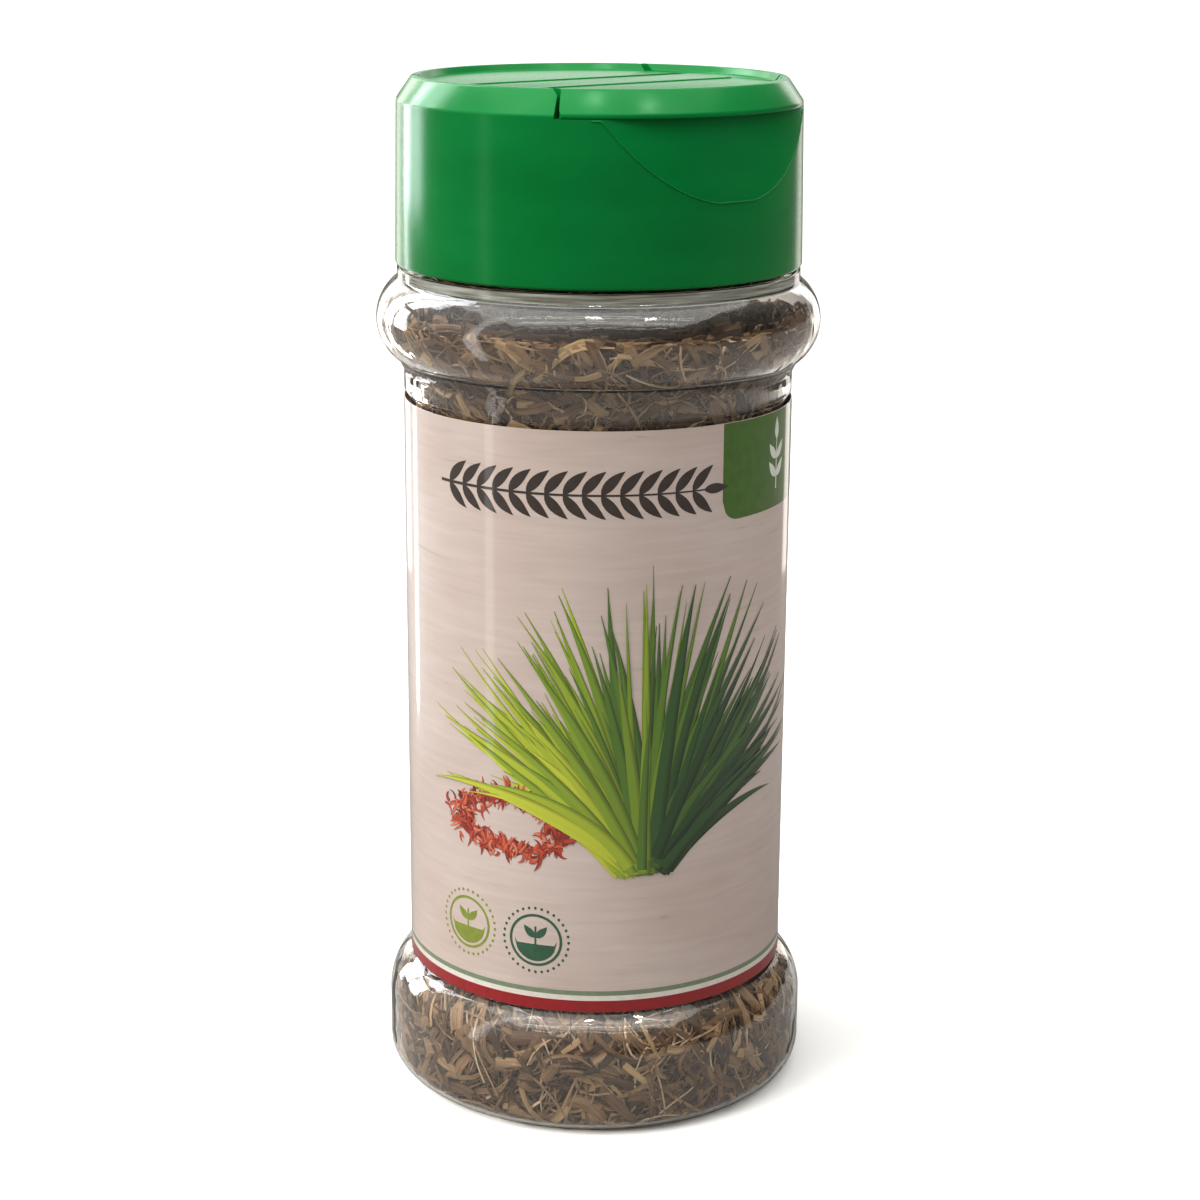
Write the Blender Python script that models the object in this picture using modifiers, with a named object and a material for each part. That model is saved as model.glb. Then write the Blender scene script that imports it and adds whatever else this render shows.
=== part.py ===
"""Clear spice jar with a screw cap that has two flaps, a wrap-round label and a filling of cut herb."""
import math
import random

import bmesh
import bpy
from mathutils import Matrix, Vector

MM = 0.001
SEGMENTS = 44
GAP = 0.3 * MM

# Jar, from the table up
BASE_RADIUS = 24.05 * MM
BASE_CORNER = 3.0 * MM
STANDING_RING_INNER = 18.3 * MM
PUSH_UP_RADIUS = 11.5 * MM
PUSH_UP_HEIGHT = 3.2 * MM
BASE_BULGE_RADIUS = 6.0 * MM
BASE_BULGE_HEIGHT = 8.6 * MM
WAIST_RADIUS = 21.5 * MM
PANEL_RADIUS = 21.15 * MM
SHOULDER_RADIUS = 24.5 * MM
SHOULDER_BULGE_RADIUS = 5.4 * MM
SHOULDER_HEIGHT = 87.9 * MM
COLLAR_RADIUS = 22.1 * MM
COLLAR_TOP = 93.5 * MM
NECK_RADIUS = 19.35 * MM
NECK_BORE = 17.75 * MM
RIM_TOP = 109.3 * MM
WALL = 0.85 * MM
FLOOR = 1.0 * MM

# Label, a film wrapped once round the panel
LABEL_BOTTOM = 14.1 * MM
LABEL_TOP = 79.2 * MM
LABEL_THICKNESS = 0.2 * MM

# Thread, one ridge on the neck and one inside the cap half a pitch below it
THREAD_PITCH = 4.2 * MM
THREAD_TURNS = 1.2
THREAD_STEPS = 30
THREAD_START = 98.6 * MM
THREAD_DEPTH = 0.9 * MM
THREAD_ROOT = 0.4 * MM
THREAD_ROOT_WIDTH = 2.0 * MM
THREAD_CREST_WIDTH = 0.9 * MM

# Cap
CAP_ANGLE = math.radians(-50.0)
CAP_BOTTOM = 93.8 * MM
CAP_FOOT_RADIUS = 22.3 * MM
CAP_RADIUS = 22.0 * MM
CAP_SHOULDER = 111.3 * MM
CAP_TOP = 113.9 * MM
CAP_FACE = 113.2 * MM
CAP_RIM_OUTER = 20.3 * MM
CAP_RIM_INNER = 19.2 * MM
SKIRT_BORE = 20.6 * MM
SKIRT_BORE_TOP = 19.95 * MM
SKIRT_STEP = 107.0 * MM
DECK_UNDERSIDE = 109.6 * MM
DECK_TOP = 111.0 * MM

# Flaps, one each side of the fixed bar
HINGE_OFFSET = 4.2 * MM
HINGE_HEIGHT = CAP_FACE
FLAP_HALF_WIDTH = 15.8 * MM
FLAP_LIP_HALF_WIDTH = 17.1 * MM
FLAP_FLARE_START = 12.8 * MM
FLAP_SIDE_GAP = 0.5 * MM
FLAP_CORNER = 0.6 * MM
FLAP_WALL = 1.3 * MM
FLAP_PLATE = 1.2 * MM
FLAP_UNDERSIDE = DECK_TOP + GAP

# Thumb scoops under the flaps' lips
SCOOP_DEPTH = 8.7 * MM
SCOOP_OFFSET = 3.0 * MM
SCOOP_LEAN = 1.08 * MM
SCOOP_CURVE = 0.24 * MM
SCOOP_RINGS = 6

# Openings in the deck
SIFTER_RADIUS = 2.3 * MM
SIFTER_PLACES = [(8.2, -10.5), (8.2, -3.5), (8.2, 3.5), (8.2, 10.5), (13.2, -7.0), (13.2, 0.0), (13.2, 7.0)]
PLUG_TOP_RADIUS = 1.95 * MM
PLUG_TIP_RADIUS = 1.3 * MM
PLUG_TIP = 110.4 * MM
SPOON_RADIUS = 16.9 * MM
SPOON_EDGE = 6.2 * MM
SPOON_SEAL_INSET = 0.7 * MM
SPOON_SEAL_WIDTH = 0.9 * MM

# Herb, cut leaf and stem pieces packed against the wall
HERB_SEED = 9
HERB_TOP = 86.8 * MM
HERB_INSET = 1.7 * MM
CHIP_INSET = 1.3 * MM
GOLDEN_ANGLE = math.pi * (3.0 - math.sqrt(5.0))
HERB_CLEARANCE = 0.35 * MM
HERB_SEGMENTS = 24
HERB_PEAK = HERB_TOP + 2.6 * MM
HEAP_RADIUS = 21.0 * MM
WALL_CHIPS = 128
TOP_CHIPS = 40
BASE_BAND = (0.36, 2.5 * MM, 14.5 * MM)
SHOULDER_BAND = (0.24, 79.0 * MM, 86.5 * MM)
PANEL_BAND = (0.40, 14.5 * MM, 79.0 * MM)
CHIP_LENGTH = (4.5 * MM, 10.0 * MM)
CHIP_WIDTH = (1.1 * MM, 2.4 * MM)
CHIP_THICKNESS = (1.1 * MM, 1.7 * MM)
CHIP_LEAN = 0.15
CHIP_TWIST = 1.2
CHIP_TIP = 0.4

for leftover in list(bpy.data.objects):
    bpy.data.objects.remove(leftover, do_unlink=True)

jar_parts = bpy.data.collections.new("spice_jar")
cutters = bpy.data.collections.new("cutters")
bpy.context.scene.collection.children.link(jar_parts)
bpy.context.scene.collection.children.link(cutters)


def material(name, color, roughness, alpha=1.0):
    """Principled material with a plain colour."""
    new = bpy.data.materials.new(name)
    new.use_nodes = True
    shader = new.node_tree.nodes["Principled BSDF"]
    shader.inputs["Base Color"].default_value = (*color, 1.0)
    shader.inputs["Roughness"].default_value = roughness
    shader.inputs["Metallic"].default_value = 0.0
    shader.inputs["Alpha"].default_value = alpha
    return new


def add_object(name, mesh, collection, finish=None):
    """Object in a collection, with its material."""
    obj = bpy.data.objects.new(name, mesh)
    collection.objects.link(obj)
    if finish is not None:
        mesh.materials.append(finish)
    if collection is cutters:
        obj.hide_render = True
        obj.display_type = "WIRE"
    return obj


def baked(obj):
    """The object's mesh with its modifiers applied; the object is removed."""
    bpy.context.view_layer.update()
    mesh = bpy.data.meshes.new_from_object(obj.evaluated_get(bpy.context.evaluated_depsgraph_get()))
    bpy.data.objects.remove(obj, do_unlink=True)
    return mesh


def fillet(before, corner, after, radius, steps):
    """Points of an arc that rounds a corner between two straight runs."""
    to_before = (before - corner).normalized()
    to_after = (after - corner).normalized()
    half = to_before.angle(to_after) / 2
    bisector = (to_before + to_after).normalized()
    centre = corner + bisector * (radius / math.sin(half))
    start = corner + to_before * (radius / math.tan(half)) - centre
    end = corner + to_after * (radius / math.tan(half)) - centre
    sweep = start.angle_signed(end)
    turn = [Matrix.Rotation(-sweep * step / steps, 2) for step in range(steps + 1)]
    return [centre + rotation @ start for rotation in turn]


def outline(points, closed=False):
    """Path through (x, y) or (x, y, corner radius, steps) points, with its corners rounded."""
    places = [Vector(point[:2]) for point in points]
    path = []
    for index, point in enumerate(points):
        inner = closed or 0 < index < len(points) - 1
        if len(point) == 2 or not inner:
            path.append(places[index])
            continue
        before, after = places[index - 1], places[(index + 1) % len(points)]
        path += fillet(before, places[index], after, point[2], point[3])
    return path


def arc(centre, radius, start, end, steps):
    """Points of an arc, with angles in degrees from the first axis."""
    angles = [math.radians(start + (end - start) * step / steps) for step in range(steps + 1)]
    return [(centre[0] + radius * math.cos(a), centre[1] + radius * math.sin(a)) for a in angles]


def turned(name, path, collection, finish=None, closed=False, segments=SEGMENTS):
    """Solid turned about Z from a profile that runs down its outer side."""
    mesh = bpy.data.meshes.new(name)
    count = len(path)
    edges = [(i, (i + 1) % count) for i in range(count if closed else count - 1)]
    mesh.from_pydata([(point[0], 0.0, point[1]) for point in path], edges, [])
    obj = add_object(name, mesh, collection, finish)
    screw = obj.modifiers.new("Turn", "SCREW")
    screw.steps = segments
    screw.render_steps = segments
    screw.use_merge_vertices = True
    screw.merge_threshold = 0.00001
    return obj


def plate(name, path, low, high, collection, finish=None):
    """Flat outline made into a solid between two heights."""
    curve = bpy.data.curves.new(name, "CURVE")
    curve.dimensions = "2D"
    curve.fill_mode = "BOTH"
    curve.extrude = (high - low) / 2
    spline = curve.splines.new("POLY")
    spline.points.add(len(path) - 1)
    spline.use_cyclic_u = True
    for point, place in zip(spline.points, path):
        point.co = (place[0], place[1], 0.0, 1.0)
    mesh = baked(add_object(name, curve, cutters))
    mesh.transform(Matrix.Translation((0.0, 0.0, (low + high) / 2)))
    body = bmesh.new()
    body.from_mesh(mesh)
    bmesh.ops.remove_doubles(body, verts=body.verts, dist=0.000001)
    bmesh.ops.recalc_face_normals(body, faces=body.faces)
    body.to_mesh(mesh)
    body.free()
    mesh.materials.clear()
    return add_object(name, mesh, collection, finish)


def cones(name, places, low, high, low_radius, high_radius, collection, sides=10):
    """Upright cones or cylinders at several places, as one cutter or one group."""
    body = bmesh.new()
    for x, y in places:
        middle = Matrix.Translation((x, y, (low + high) / 2))
        bmesh.ops.create_cone(body, cap_ends=True, segments=sides, radius1=low_radius,
                              radius2=high_radius, depth=high - low, matrix=middle)
    mesh = bpy.data.meshes.new(name)
    body.to_mesh(mesh)
    body.free()
    return add_object(name, mesh, collection)


def combine(obj, other, operation, solver="EXACT"):
    """Boolean modifier that cuts, joins or keeps what another object covers."""
    boolean = obj.modifiers.new(other.name, "BOOLEAN")
    boolean.operation = operation
    boolean.solver = solver
    boolean.object = other


def shade(mesh, angle=35.0):
    """Smooth shading with sharp edges kept."""
    mesh.shade_smooth()
    mesh.set_sharp_from_angle(angle=math.radians(angle))


def thread_ridge(name, radius, depth, middle_at_start, start_angle, collection):
    """Helical ridge with run-out ends; a positive depth stands outward and a negative one inward."""
    steps = int(THREAD_STEPS * THREAD_TURNS)
    side = math.copysign(1.0, depth)
    body = bmesh.new()
    rings = []
    for step in range(steps + 1):
        along = step / THREAD_STEPS
        angle = start_angle + 2 * math.pi * along
        middle = middle_at_start + THREAD_PITCH * along
        rise = min(1.0, 0.15 + min(step, steps - step) / 4)
        crest = radius + depth * rise
        root = radius - side * THREAD_ROOT
        section = [(root, -THREAD_ROOT_WIDTH / 2), (crest, -THREAD_CREST_WIDTH / 2),
                   (crest, THREAD_CREST_WIDTH / 2), (root, THREAD_ROOT_WIDTH / 2)]
        direction = Vector((math.cos(angle), math.sin(angle), 0.0))
        rings.append([body.verts.new(direction * r + Vector((0.0, 0.0, middle + z))) for r, z in section])
    for ring, following in zip(rings, rings[1:]):
        for i in range(4):
            body.faces.new((ring[i], ring[(i + 1) % 4], following[(i + 1) % 4], following[i]))
    body.faces.new(rings[0])
    body.faces.new(list(reversed(rings[-1])))
    bmesh.ops.recalc_face_normals(body, faces=body.faces)
    mesh = bpy.data.meshes.new(name)
    body.to_mesh(mesh)
    body.free()
    return add_object(name, mesh, collection)


def cavity_path():
    """Inner side of the jar's wall from the floor's middle up to the bore."""
    base = BASE_BULGE_RADIUS - WALL
    shoulder = SHOULDER_BULGE_RADIUS - WALL
    base_middle = (BASE_RADIUS - BASE_BULGE_RADIUS, BASE_BULGE_HEIGHT)
    shoulder_middle = (SHOULDER_RADIUS - SHOULDER_BULGE_RADIUS, SHOULDER_HEIGHT)
    waist = PANEL_RADIUS - WALL
    floor = outline([
        (0.0, PUSH_UP_HEIGHT + FLOOR),
        (PUSH_UP_RADIUS + 0.3 * MM, PUSH_UP_HEIGHT + FLOOR),
        (STANDING_RING_INNER + 0.3 * MM, FLOOR),
        (BASE_RADIUS - WALL, FLOOR, BASE_CORNER - WALL, 3),
        (BASE_RADIUS - WALL, BASE_BULGE_HEIGHT),
    ])
    return (floor + arc(base_middle, base, 17.0, 51.0, 2)
            + [(waist, 15.3 * MM), (waist, 81.6 * MM)]
            + arc(shoulder_middle, shoulder, -60.0, 60.0, 6)
            + [(NECK_BORE, COLLAR_TOP + 0.3 * MM)])


def cavity_radius(height):
    """Radius of the jar's inner wall at a height above the floor."""
    beyond_push_up = [point for point in cavity_path() if point[0] > PUSH_UP_RADIUS + 1.0 * MM]
    wall = beyond_push_up[2:]
    for (r_low, z_low), (r_high, z_high) in zip(wall, wall[1:]):
        if z_low <= height <= z_high and z_high > z_low:
            return r_low + (r_high - r_low) * (height - z_low) / (z_high - z_low)
    return wall[0][0]


def jar():
    """Blow-moulded jar: standing ring, base bulge, label panel, shoulder bulge and threaded neck."""
    base_middle = (BASE_RADIUS - BASE_BULGE_RADIUS, BASE_BULGE_HEIGHT)
    shoulder_middle = (SHOULDER_RADIUS - SHOULDER_BULGE_RADIUS, SHOULDER_HEIGHT)
    rim = [(NECK_BORE, RIM_TOP - 0.3 * MM), (NECK_BORE + 0.3 * MM, RIM_TOP),
           (NECK_RADIUS - 0.4 * MM, RIM_TOP), (NECK_RADIUS, RIM_TOP - 0.4 * MM)]
    collar = outline([
        (NECK_RADIUS, COLLAR_TOP + 2.0 * MM),
        (NECK_RADIUS, COLLAR_TOP, 0.5 * MM, 1),
        (COLLAR_RADIUS, COLLAR_TOP, 0.5 * MM, 2),
        (COLLAR_RADIUS, COLLAR_TOP - 1.0 * MM),
    ])
    shoulder = arc(shoulder_middle, SHOULDER_BULGE_RADIUS, 55.0, -58.0, 9)
    waist = [(WAIST_RADIUS, 82.2 * MM), (WAIST_RADIUS, LABEL_TOP + 0.9 * MM),
             (PANEL_RADIUS, LABEL_TOP + 0.4 * MM), (PANEL_RADIUS, LABEL_BOTTOM - 0.2 * MM)]
    base_bulge = arc(base_middle, BASE_BULGE_RADIUS, 51.0, 0.0, 4)
    foot = outline([
        (BASE_RADIUS, BASE_BULGE_HEIGHT - 1.0 * MM),
        (BASE_RADIUS, 0.0, BASE_CORNER, 4),
        (STANDING_RING_INNER, 0.0, 1.0 * MM, 1),
        (PUSH_UP_RADIUS, PUSH_UP_HEIGHT, 3.0 * MM, 2),
        (0.0, PUSH_UP_HEIGHT),
    ])
    path = cavity_path() + rim + collar + shoulder + waist + base_bulge + foot
    clear = material("clear PET", (0.86, 0.88, 0.87), 0.08, alpha=0.25)
    body = turned("jar", path, jar_parts, clear)
    ridge = thread_ridge("neck thread", NECK_RADIUS, THREAD_DEPTH, THREAD_START, 0.0, cutters)
    combine(body, ridge, "UNION")
    shade(body.data)


def label():
    """Printed film wrapped round the panel, standing just clear of the jar."""
    inner = PANEL_RADIUS + GAP
    outer = inner + LABEL_THICKNESS
    path = [(outer, LABEL_TOP), (outer, LABEL_BOTTOM), (inner, LABEL_BOTTOM), (inner, LABEL_TOP)]
    paper = material("label film", (0.62, 0.50, 0.45), 0.6)
    shade(turned("label", path, jar_parts, paper, closed=True).data)


def chip(rng, finish):
    """Mesh of one cut sliver along X, pointed at one end, with a three-sided section."""
    length = rng.uniform(*CHIP_LENGTH)
    width = rng.uniform(*CHIP_WIDTH)
    thickness = rng.uniform(*CHIP_THICKNESS)
    body = bmesh.new()
    ends = []
    for x, scale in ((-length / 2, 1.0), (length / 2, rng.uniform(0.35, 1.0))):
        lift = rng.uniform(-0.2, 0.2) * width
        section = [(-0.5 * width, -0.5 * thickness), (0.5 * width, -0.5 * thickness),
                   (lift, 0.5 * thickness)]
        ends.append([body.verts.new((x, y * scale, z)) for y, z in section])
    for i in range(3):
        body.faces.new((ends[0][i], ends[0][(i + 1) % 3], ends[1][(i + 1) % 3], ends[1][i]))
    body.faces.new(ends[0])
    body.faces.new(list(reversed(ends[1])))
    bmesh.ops.recalc_face_normals(body, faces=body.faces)
    mesh = bpy.data.meshes.new("chip")
    body.to_mesh(mesh)
    body.free()
    return mesh


def keep_inside(mesh):
    """Moves the points of a placed chip in until they clear the jar's wall and floor."""
    for vertex in mesh.vertices:
        low = FLOOR + HERB_CLEARANCE
        vertex.co.z = min(max(vertex.co.z, low), HERB_PEAK)
        limit = cavity_radius(vertex.co.z) - HERB_CLEARANCE
        radius = math.hypot(vertex.co.x, vertex.co.y)
        if radius > limit:
            vertex.co.x *= limit / radius
            vertex.co.y *= limit / radius


def one_body(mesh):
    """Keeps the largest joined piece of a mesh, so that sealed pockets are filled and scraps dropped."""
    body = bmesh.new()
    body.from_mesh(mesh)
    waiting = set(body.faces)
    pieces = []
    while waiting:
        piece = [waiting.pop()]
        for face in piece:
            near = {other for edge in face.edges for other in edge.link_faces} & waiting
            waiting -= near
            piece += near
        pieces.append(piece)
    pieces.sort(key=len)
    for piece in pieces[:-1]:
        bmesh.ops.delete(body, geom=piece, context="FACES")
    body.to_mesh(mesh)
    body.free()


def band_height(share):
    """Height of a chip on the wall, with more of them above and below the label than behind it."""
    for part, low, high in (BASE_BAND, SHOULDER_BAND, PANEL_BAND):
        if share < part:
            return low + (high - low) * share / part
        share -= part
    return high


def herb_core():
    """Packed middle of the herb, a turned form a little smaller than the cavity."""
    wall = [1.9, 4.0, 8.6, 11.5, 15.4, 22.0, 32.0, 42.0, 52.0, 62.0, 72.0, 80.5, 83.4, 86.0]
    sides = [(cavity_radius(z * MM) - HERB_INSET, z * MM) for z in wall]
    floor = [(PUSH_UP_RADIUS, PUSH_UP_HEIGHT + FLOOR + 0.4 * MM), (0.0, PUSH_UP_HEIGHT + FLOOR + 0.4 * MM)]
    foot = [(STANDING_RING_INNER + 1.2 * MM, FLOOR + 0.5 * MM)]
    crown = [(0.0, HERB_TOP + 0.8 * MM), (9.0 * MM, HERB_TOP + 0.6 * MM), (17.0 * MM, HERB_TOP)]
    path = crown + list(reversed(sides)) + foot + floor
    mesh = baked(turned("herb core", path, cutters, segments=HERB_SEGMENTS))
    for vertex in mesh.vertices:
        wave = math.sin(vertex.co.x * 900 + vertex.co.z * 500) * math.cos(vertex.co.y * 700)
        vertex.co.x *= 1.0 + 0.018 * wave
        vertex.co.y *= 1.0 + 0.018 * wave
        if vertex.co.z > HERB_TOP - 0.5 * MM:
            vertex.co.z += 0.5 * MM * wave
    return mesh


def herb():
    """Cut dried leaf and stem: slivers fused to the packed middle, crowded on its wall and its top."""
    rng = random.Random(HERB_SEED)
    dried = material("dried herb", (0.29, 0.21, 0.13), 0.85)
    heap = add_object("herb_fill", herb_core(), jar_parts, dried)
    chips = bpy.data.collections.new("chips")
    bpy.context.scene.collection.children.link(chips)
    for number in range(WALL_CHIPS + TOP_CHIPS):
        mesh = chip(rng, dried)
        angle = number * GOLDEN_ANGLE + rng.uniform(-0.3, 0.3)
        lean = Matrix.Rotation(rng.uniform(-CHIP_LEAN, CHIP_LEAN), 4, "X")
        lean = lean @ Matrix.Rotation(rng.uniform(-0.1, 0.1), 4, "Y")
        if number < WALL_CHIPS:
            height = band_height((number + rng.random()) / WALL_CHIPS)
            radius = cavity_radius(height) - CHIP_INSET
            twist = Matrix.Rotation(rng.uniform(-CHIP_TWIST, CHIP_TWIST), 4, "Z")
            stand = Matrix.Rotation(math.pi / 2, 4, "Y") @ Matrix.Rotation(math.pi / 2, 4, "Z")
            place = Matrix.Rotation(angle, 4, "Z") @ Matrix.Translation((radius, 0.0, height))
            mesh.transform(place @ stand @ twist @ lean)
        else:
            radius = HEAP_RADIUS * math.sqrt((number - WALL_CHIPS + 0.5) / TOP_CHIPS)
            height = HERB_TOP + rng.uniform(0.2, 1.2) * MM
            twist = Matrix.Rotation(rng.uniform(0.0, math.pi), 4, "Z")
            tip = Matrix.Rotation(rng.uniform(-CHIP_TIP, CHIP_TIP), 4, "Y")
            place = Matrix.Rotation(angle, 4, "Z") @ Matrix.Translation((radius, 0.0, height))
            mesh.transform(place @ twist @ tip @ lean)
        keep_inside(mesh)
        chips.objects.link(bpy.data.objects.new("chip", mesh))
    union = heap.modifiers.new("chips", "BOOLEAN")
    union.operand_type = "COLLECTION"
    union.collection = chips
    union.operation = "UNION"
    union.solver = "MANIFOLD"
    mesh = baked(heap)
    one_body(mesh)
    mesh.shade_flat()
    for piece in list(chips.objects):
        bpy.data.objects.remove(piece, do_unlink=True)
    bpy.data.collections.remove(chips)
    add_object("herb_fill", mesh, jar_parts)


def cap_frame():
    """Empty on the cap's axis, turned so that its +X is the way the front flap opens."""
    frame = bpy.data.objects.new("cap_frame", None)
    jar_parts.objects.link(frame)
    frame.rotation_euler.z = CAP_ANGLE
    return frame


def hollow_thumb_scoops(mesh):
    """Draws the skirt in to two round faces whose middles shift inward as they rise to the flaps."""
    bottom = DECK_TOP - SCOOP_DEPTH
    face = CAP_RADIUS + SCOOP_OFFSET
    for vertex in mesh.vertices:
        radius = math.hypot(vertex.co.x, vertex.co.y)
        rise = (vertex.co.z - bottom) / SCOOP_DEPTH
        if radius < SKIRT_BORE + 0.1 * MM or not 0.0 < rise < 1.03:
            continue
        shift = SCOOP_OFFSET + SCOOP_LEAN * rise + SCOOP_CURVE * rise ** 2
        along, across = abs(vertex.co.x) / radius, vertex.co.y / radius
        limit = math.sqrt(face ** 2 - (shift * across) ** 2) - shift * along
        if limit < radius:
            vertex.co.x *= limit / radius
            vertex.co.y *= limit / radius


def spoon_outline(inset):
    """D-shaped opening on the back half of the deck, or the same shape drawn in by an inset."""
    radius = SPOON_RADIUS - inset
    edge = SPOON_EDGE + inset
    half = math.degrees(math.acos(edge / radius))
    curved = arc((0.0, 0.0), radius, 180.0 - half + 6.0, 180.0 + half - 6.0, 11)
    corner = math.sqrt(radius ** 2 - edge ** 2) - 2.0 * MM
    return curved + [(-edge, -corner), (-edge, corner)]


def pocket_outline(side):
    """Plan of the room for a flap on one side of the bar, open past the rim."""
    low = HINGE_OFFSET - GAP / 2
    half = FLAP_HALF_WIDTH + FLAP_SIDE_GAP
    reach = math.asin((FLAP_LIP_HALF_WIDTH + FLAP_SIDE_GAP) / CAP_RADIUS)
    far = 1.4 * CAP_RADIUS
    corner = (far * math.cos(reach), far * math.sin(reach))
    right = [(low, half), (FLAP_FLARE_START, half), corner, (far, corner[1])]
    left = [(x, -y) for x, y in reversed(right)]
    return [(side * x, y) for x, y in left + right]


def skirt_rings():
    """Rings on the skirt's outer side, close enough together to carry the thumb scoops."""
    slope = (CAP_FOOT_RADIUS - CAP_RADIUS) / (CAP_SHOULDER - CAP_BOTTOM)
    heights = [DECK_TOP + 0.1 * MM - SCOOP_DEPTH * n / SCOOP_RINGS for n in range(SCOOP_RINGS + 1)]
    return [(CAP_RADIUS + (CAP_SHOULDER - z) * slope, z) for z in heights]


def cap_body(frame):
    """Moulded cap: skirt with an inner thread, deck with its openings, and the bar between the flaps."""
    path = outline([
        (0.0, CAP_FACE),
        (CAP_RIM_INNER, CAP_FACE),
        (CAP_RIM_INNER + 0.4 * MM, CAP_TOP),
        (CAP_RIM_OUTER, CAP_TOP, 0.4 * MM, 1),
        (CAP_RADIUS, CAP_SHOULDER, 0.2 * MM, 1),
        *skirt_rings(),
        (CAP_FOOT_RADIUS, CAP_BOTTOM, 0.3 * MM, 1),
        (SKIRT_BORE, CAP_BOTTOM),
        (SKIRT_BORE, SKIRT_STEP),
        (SKIRT_BORE_TOP, SKIRT_STEP + 0.7 * MM),
        (SKIRT_BORE_TOP, DECK_UNDERSIDE),
        (0.0, DECK_UNDERSIDE),
    ])
    green = material("green polypropylene", (0.02, 0.32, 0.09), 0.25)
    mesh = baked(turned("cap_body", path, cutters))
    hollow_thumb_scoops(mesh)
    body = add_object("cap_body", mesh, jar_parts, green)
    body.parent = frame
    ridge = thread_ridge("cap thread", SKIRT_BORE, -0.85 * MM, THREAD_START - THREAD_PITCH / 2,
                         -CAP_ANGLE, cutters)
    cuts = []
    for side in (1, -1):
        cuts.append(plate("flap pocket", pocket_outline(side), DECK_TOP, CAP_TOP + 2 * MM, cutters))
    holes = [(x * MM, y * MM) for x, y in SIFTER_PLACES]
    low, high = DECK_UNDERSIDE - 1.0 * MM, DECK_TOP + 1.0 * MM
    cuts.append(cones("sifter holes", holes, low, high, SIFTER_RADIUS, SIFTER_RADIUS, cutters))
    cuts.append(plate("spoon opening", spoon_outline(0.0), low, high, cutters))
    ridge.parent = frame
    combine(body, ridge, "UNION")
    for cut in cuts:
        cut.parent = frame
        combine(body, cut, "DIFFERENCE")
    shade(body.data)


def flap_outline(inset, arc_radius, corner):
    """Plan of a flap: sides straight from the hinge that flare out across the chamfer to a round front."""
    low = HINGE_OFFSET + GAP / 2 + inset
    half = FLAP_HALF_WIDTH - inset
    reach = math.degrees(math.asin((FLAP_LIP_HALF_WIDTH - inset) / arc_radius))
    front = arc((0.0, 0.0), arc_radius, -reach, reach, 14)
    rounded = [(*front[0], corner, 2)] + front[1:-1] + [(*front[-1], corner, 2)]
    left = [(low, -half), (FLAP_FLARE_START, -half)]
    right = [(FLAP_FLARE_START, half), (low, half)]
    return outline(left + rounded + right, closed=True)


def flap(name, side, frame, plugs):
    """Flap moulded with a raised rim, hollow below, carrying what closes the deck's openings."""
    path = outline([
        (0.0, CAP_FACE),
        (CAP_RIM_INNER, CAP_FACE),
        (CAP_RIM_INNER + 0.4 * MM, CAP_TOP),
        (CAP_RIM_OUTER, CAP_TOP, 0.4 * MM, 1),
        (CAP_RADIUS, CAP_SHOULDER + 0.3 * MM),
        (CAP_RADIUS, FLAP_UNDERSIDE),
        (0.0, FLAP_UNDERSIDE),
    ])
    disc = turned(name, path, cutters)
    plan = plate("flap plan", flap_outline(0.0, CAP_RADIUS + 0.1 * MM, FLAP_CORNER),
                 FLAP_UNDERSIDE - 1.0 * MM, CAP_TOP + 1.0 * MM, cutters)
    hollow = plate("flap hollow", flap_outline(FLAP_WALL, CAP_RADIUS - FLAP_WALL, FLAP_CORNER),
                   FLAP_UNDERSIDE - 1.0 * MM, CAP_FACE - FLAP_PLATE, cutters)
    combine(disc, plan, "INTERSECT")
    combine(disc, hollow, "DIFFERENCE")
    combine(disc, plugs, "UNION")
    mesh = baked(disc)
    mesh.materials.clear()
    for tool in (plan, hollow, plugs):
        bpy.data.objects.remove(tool, do_unlink=True)
    mesh.transform(Matrix.Translation((-HINGE_OFFSET, 0.0, -HINGE_HEIGHT)))
    lid = add_object(name, mesh, jar_parts, bpy.data.materials["green polypropylene"])
    lid.parent = frame
    lid.location = (side * HINGE_OFFSET, 0.0, HINGE_HEIGHT)
    lid.rotation_euler.z = 0.0 if side > 0 else math.pi
    shade(mesh)


def sifter_flap(frame):
    """Front flap, with a tapered plug over each sifting hole."""
    places = [(x * MM, y * MM) for x, y in SIFTER_PLACES]
    top = CAP_FACE - FLAP_PLATE + 0.4 * MM
    plugs = cones("plugs", places, PLUG_TIP, top, PLUG_TIP_RADIUS, PLUG_TOP_RADIUS, cutters)
    flap("sifter_flap", 1, frame, plugs)


def spoon_flap(frame):
    """Back flap, with a D-shaped sealing wall that sits in the spoon opening."""
    top = CAP_FACE - FLAP_PLATE + 0.4 * MM
    outer = [(-x, -y) for x, y in spoon_outline(SPOON_SEAL_INSET)]
    inner = [(-x, -y) for x, y in spoon_outline(SPOON_SEAL_INSET + SPOON_SEAL_WIDTH)]
    wall = plate("seal", outer, PLUG_TIP + 0.2 * MM, top, cutters)
    middle = plate("seal middle", inner, PLUG_TIP - 1.0 * MM, top + 1.0 * MM, cutters)
    combine(wall, middle, "DIFFERENCE")
    seal = add_object("seal wall", baked(wall), cutters)
    bpy.data.objects.remove(middle, do_unlink=True)
    flap("spoon_flap", -1, frame, seal)


jar()
label()
herb()
cap = cap_frame()
cap_body(cap)
sifter_flap(cap)
spoon_flap(cap)
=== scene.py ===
import math
import random

import bmesh
import bpy
from mathutils import Matrix, Vector, noise


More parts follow.
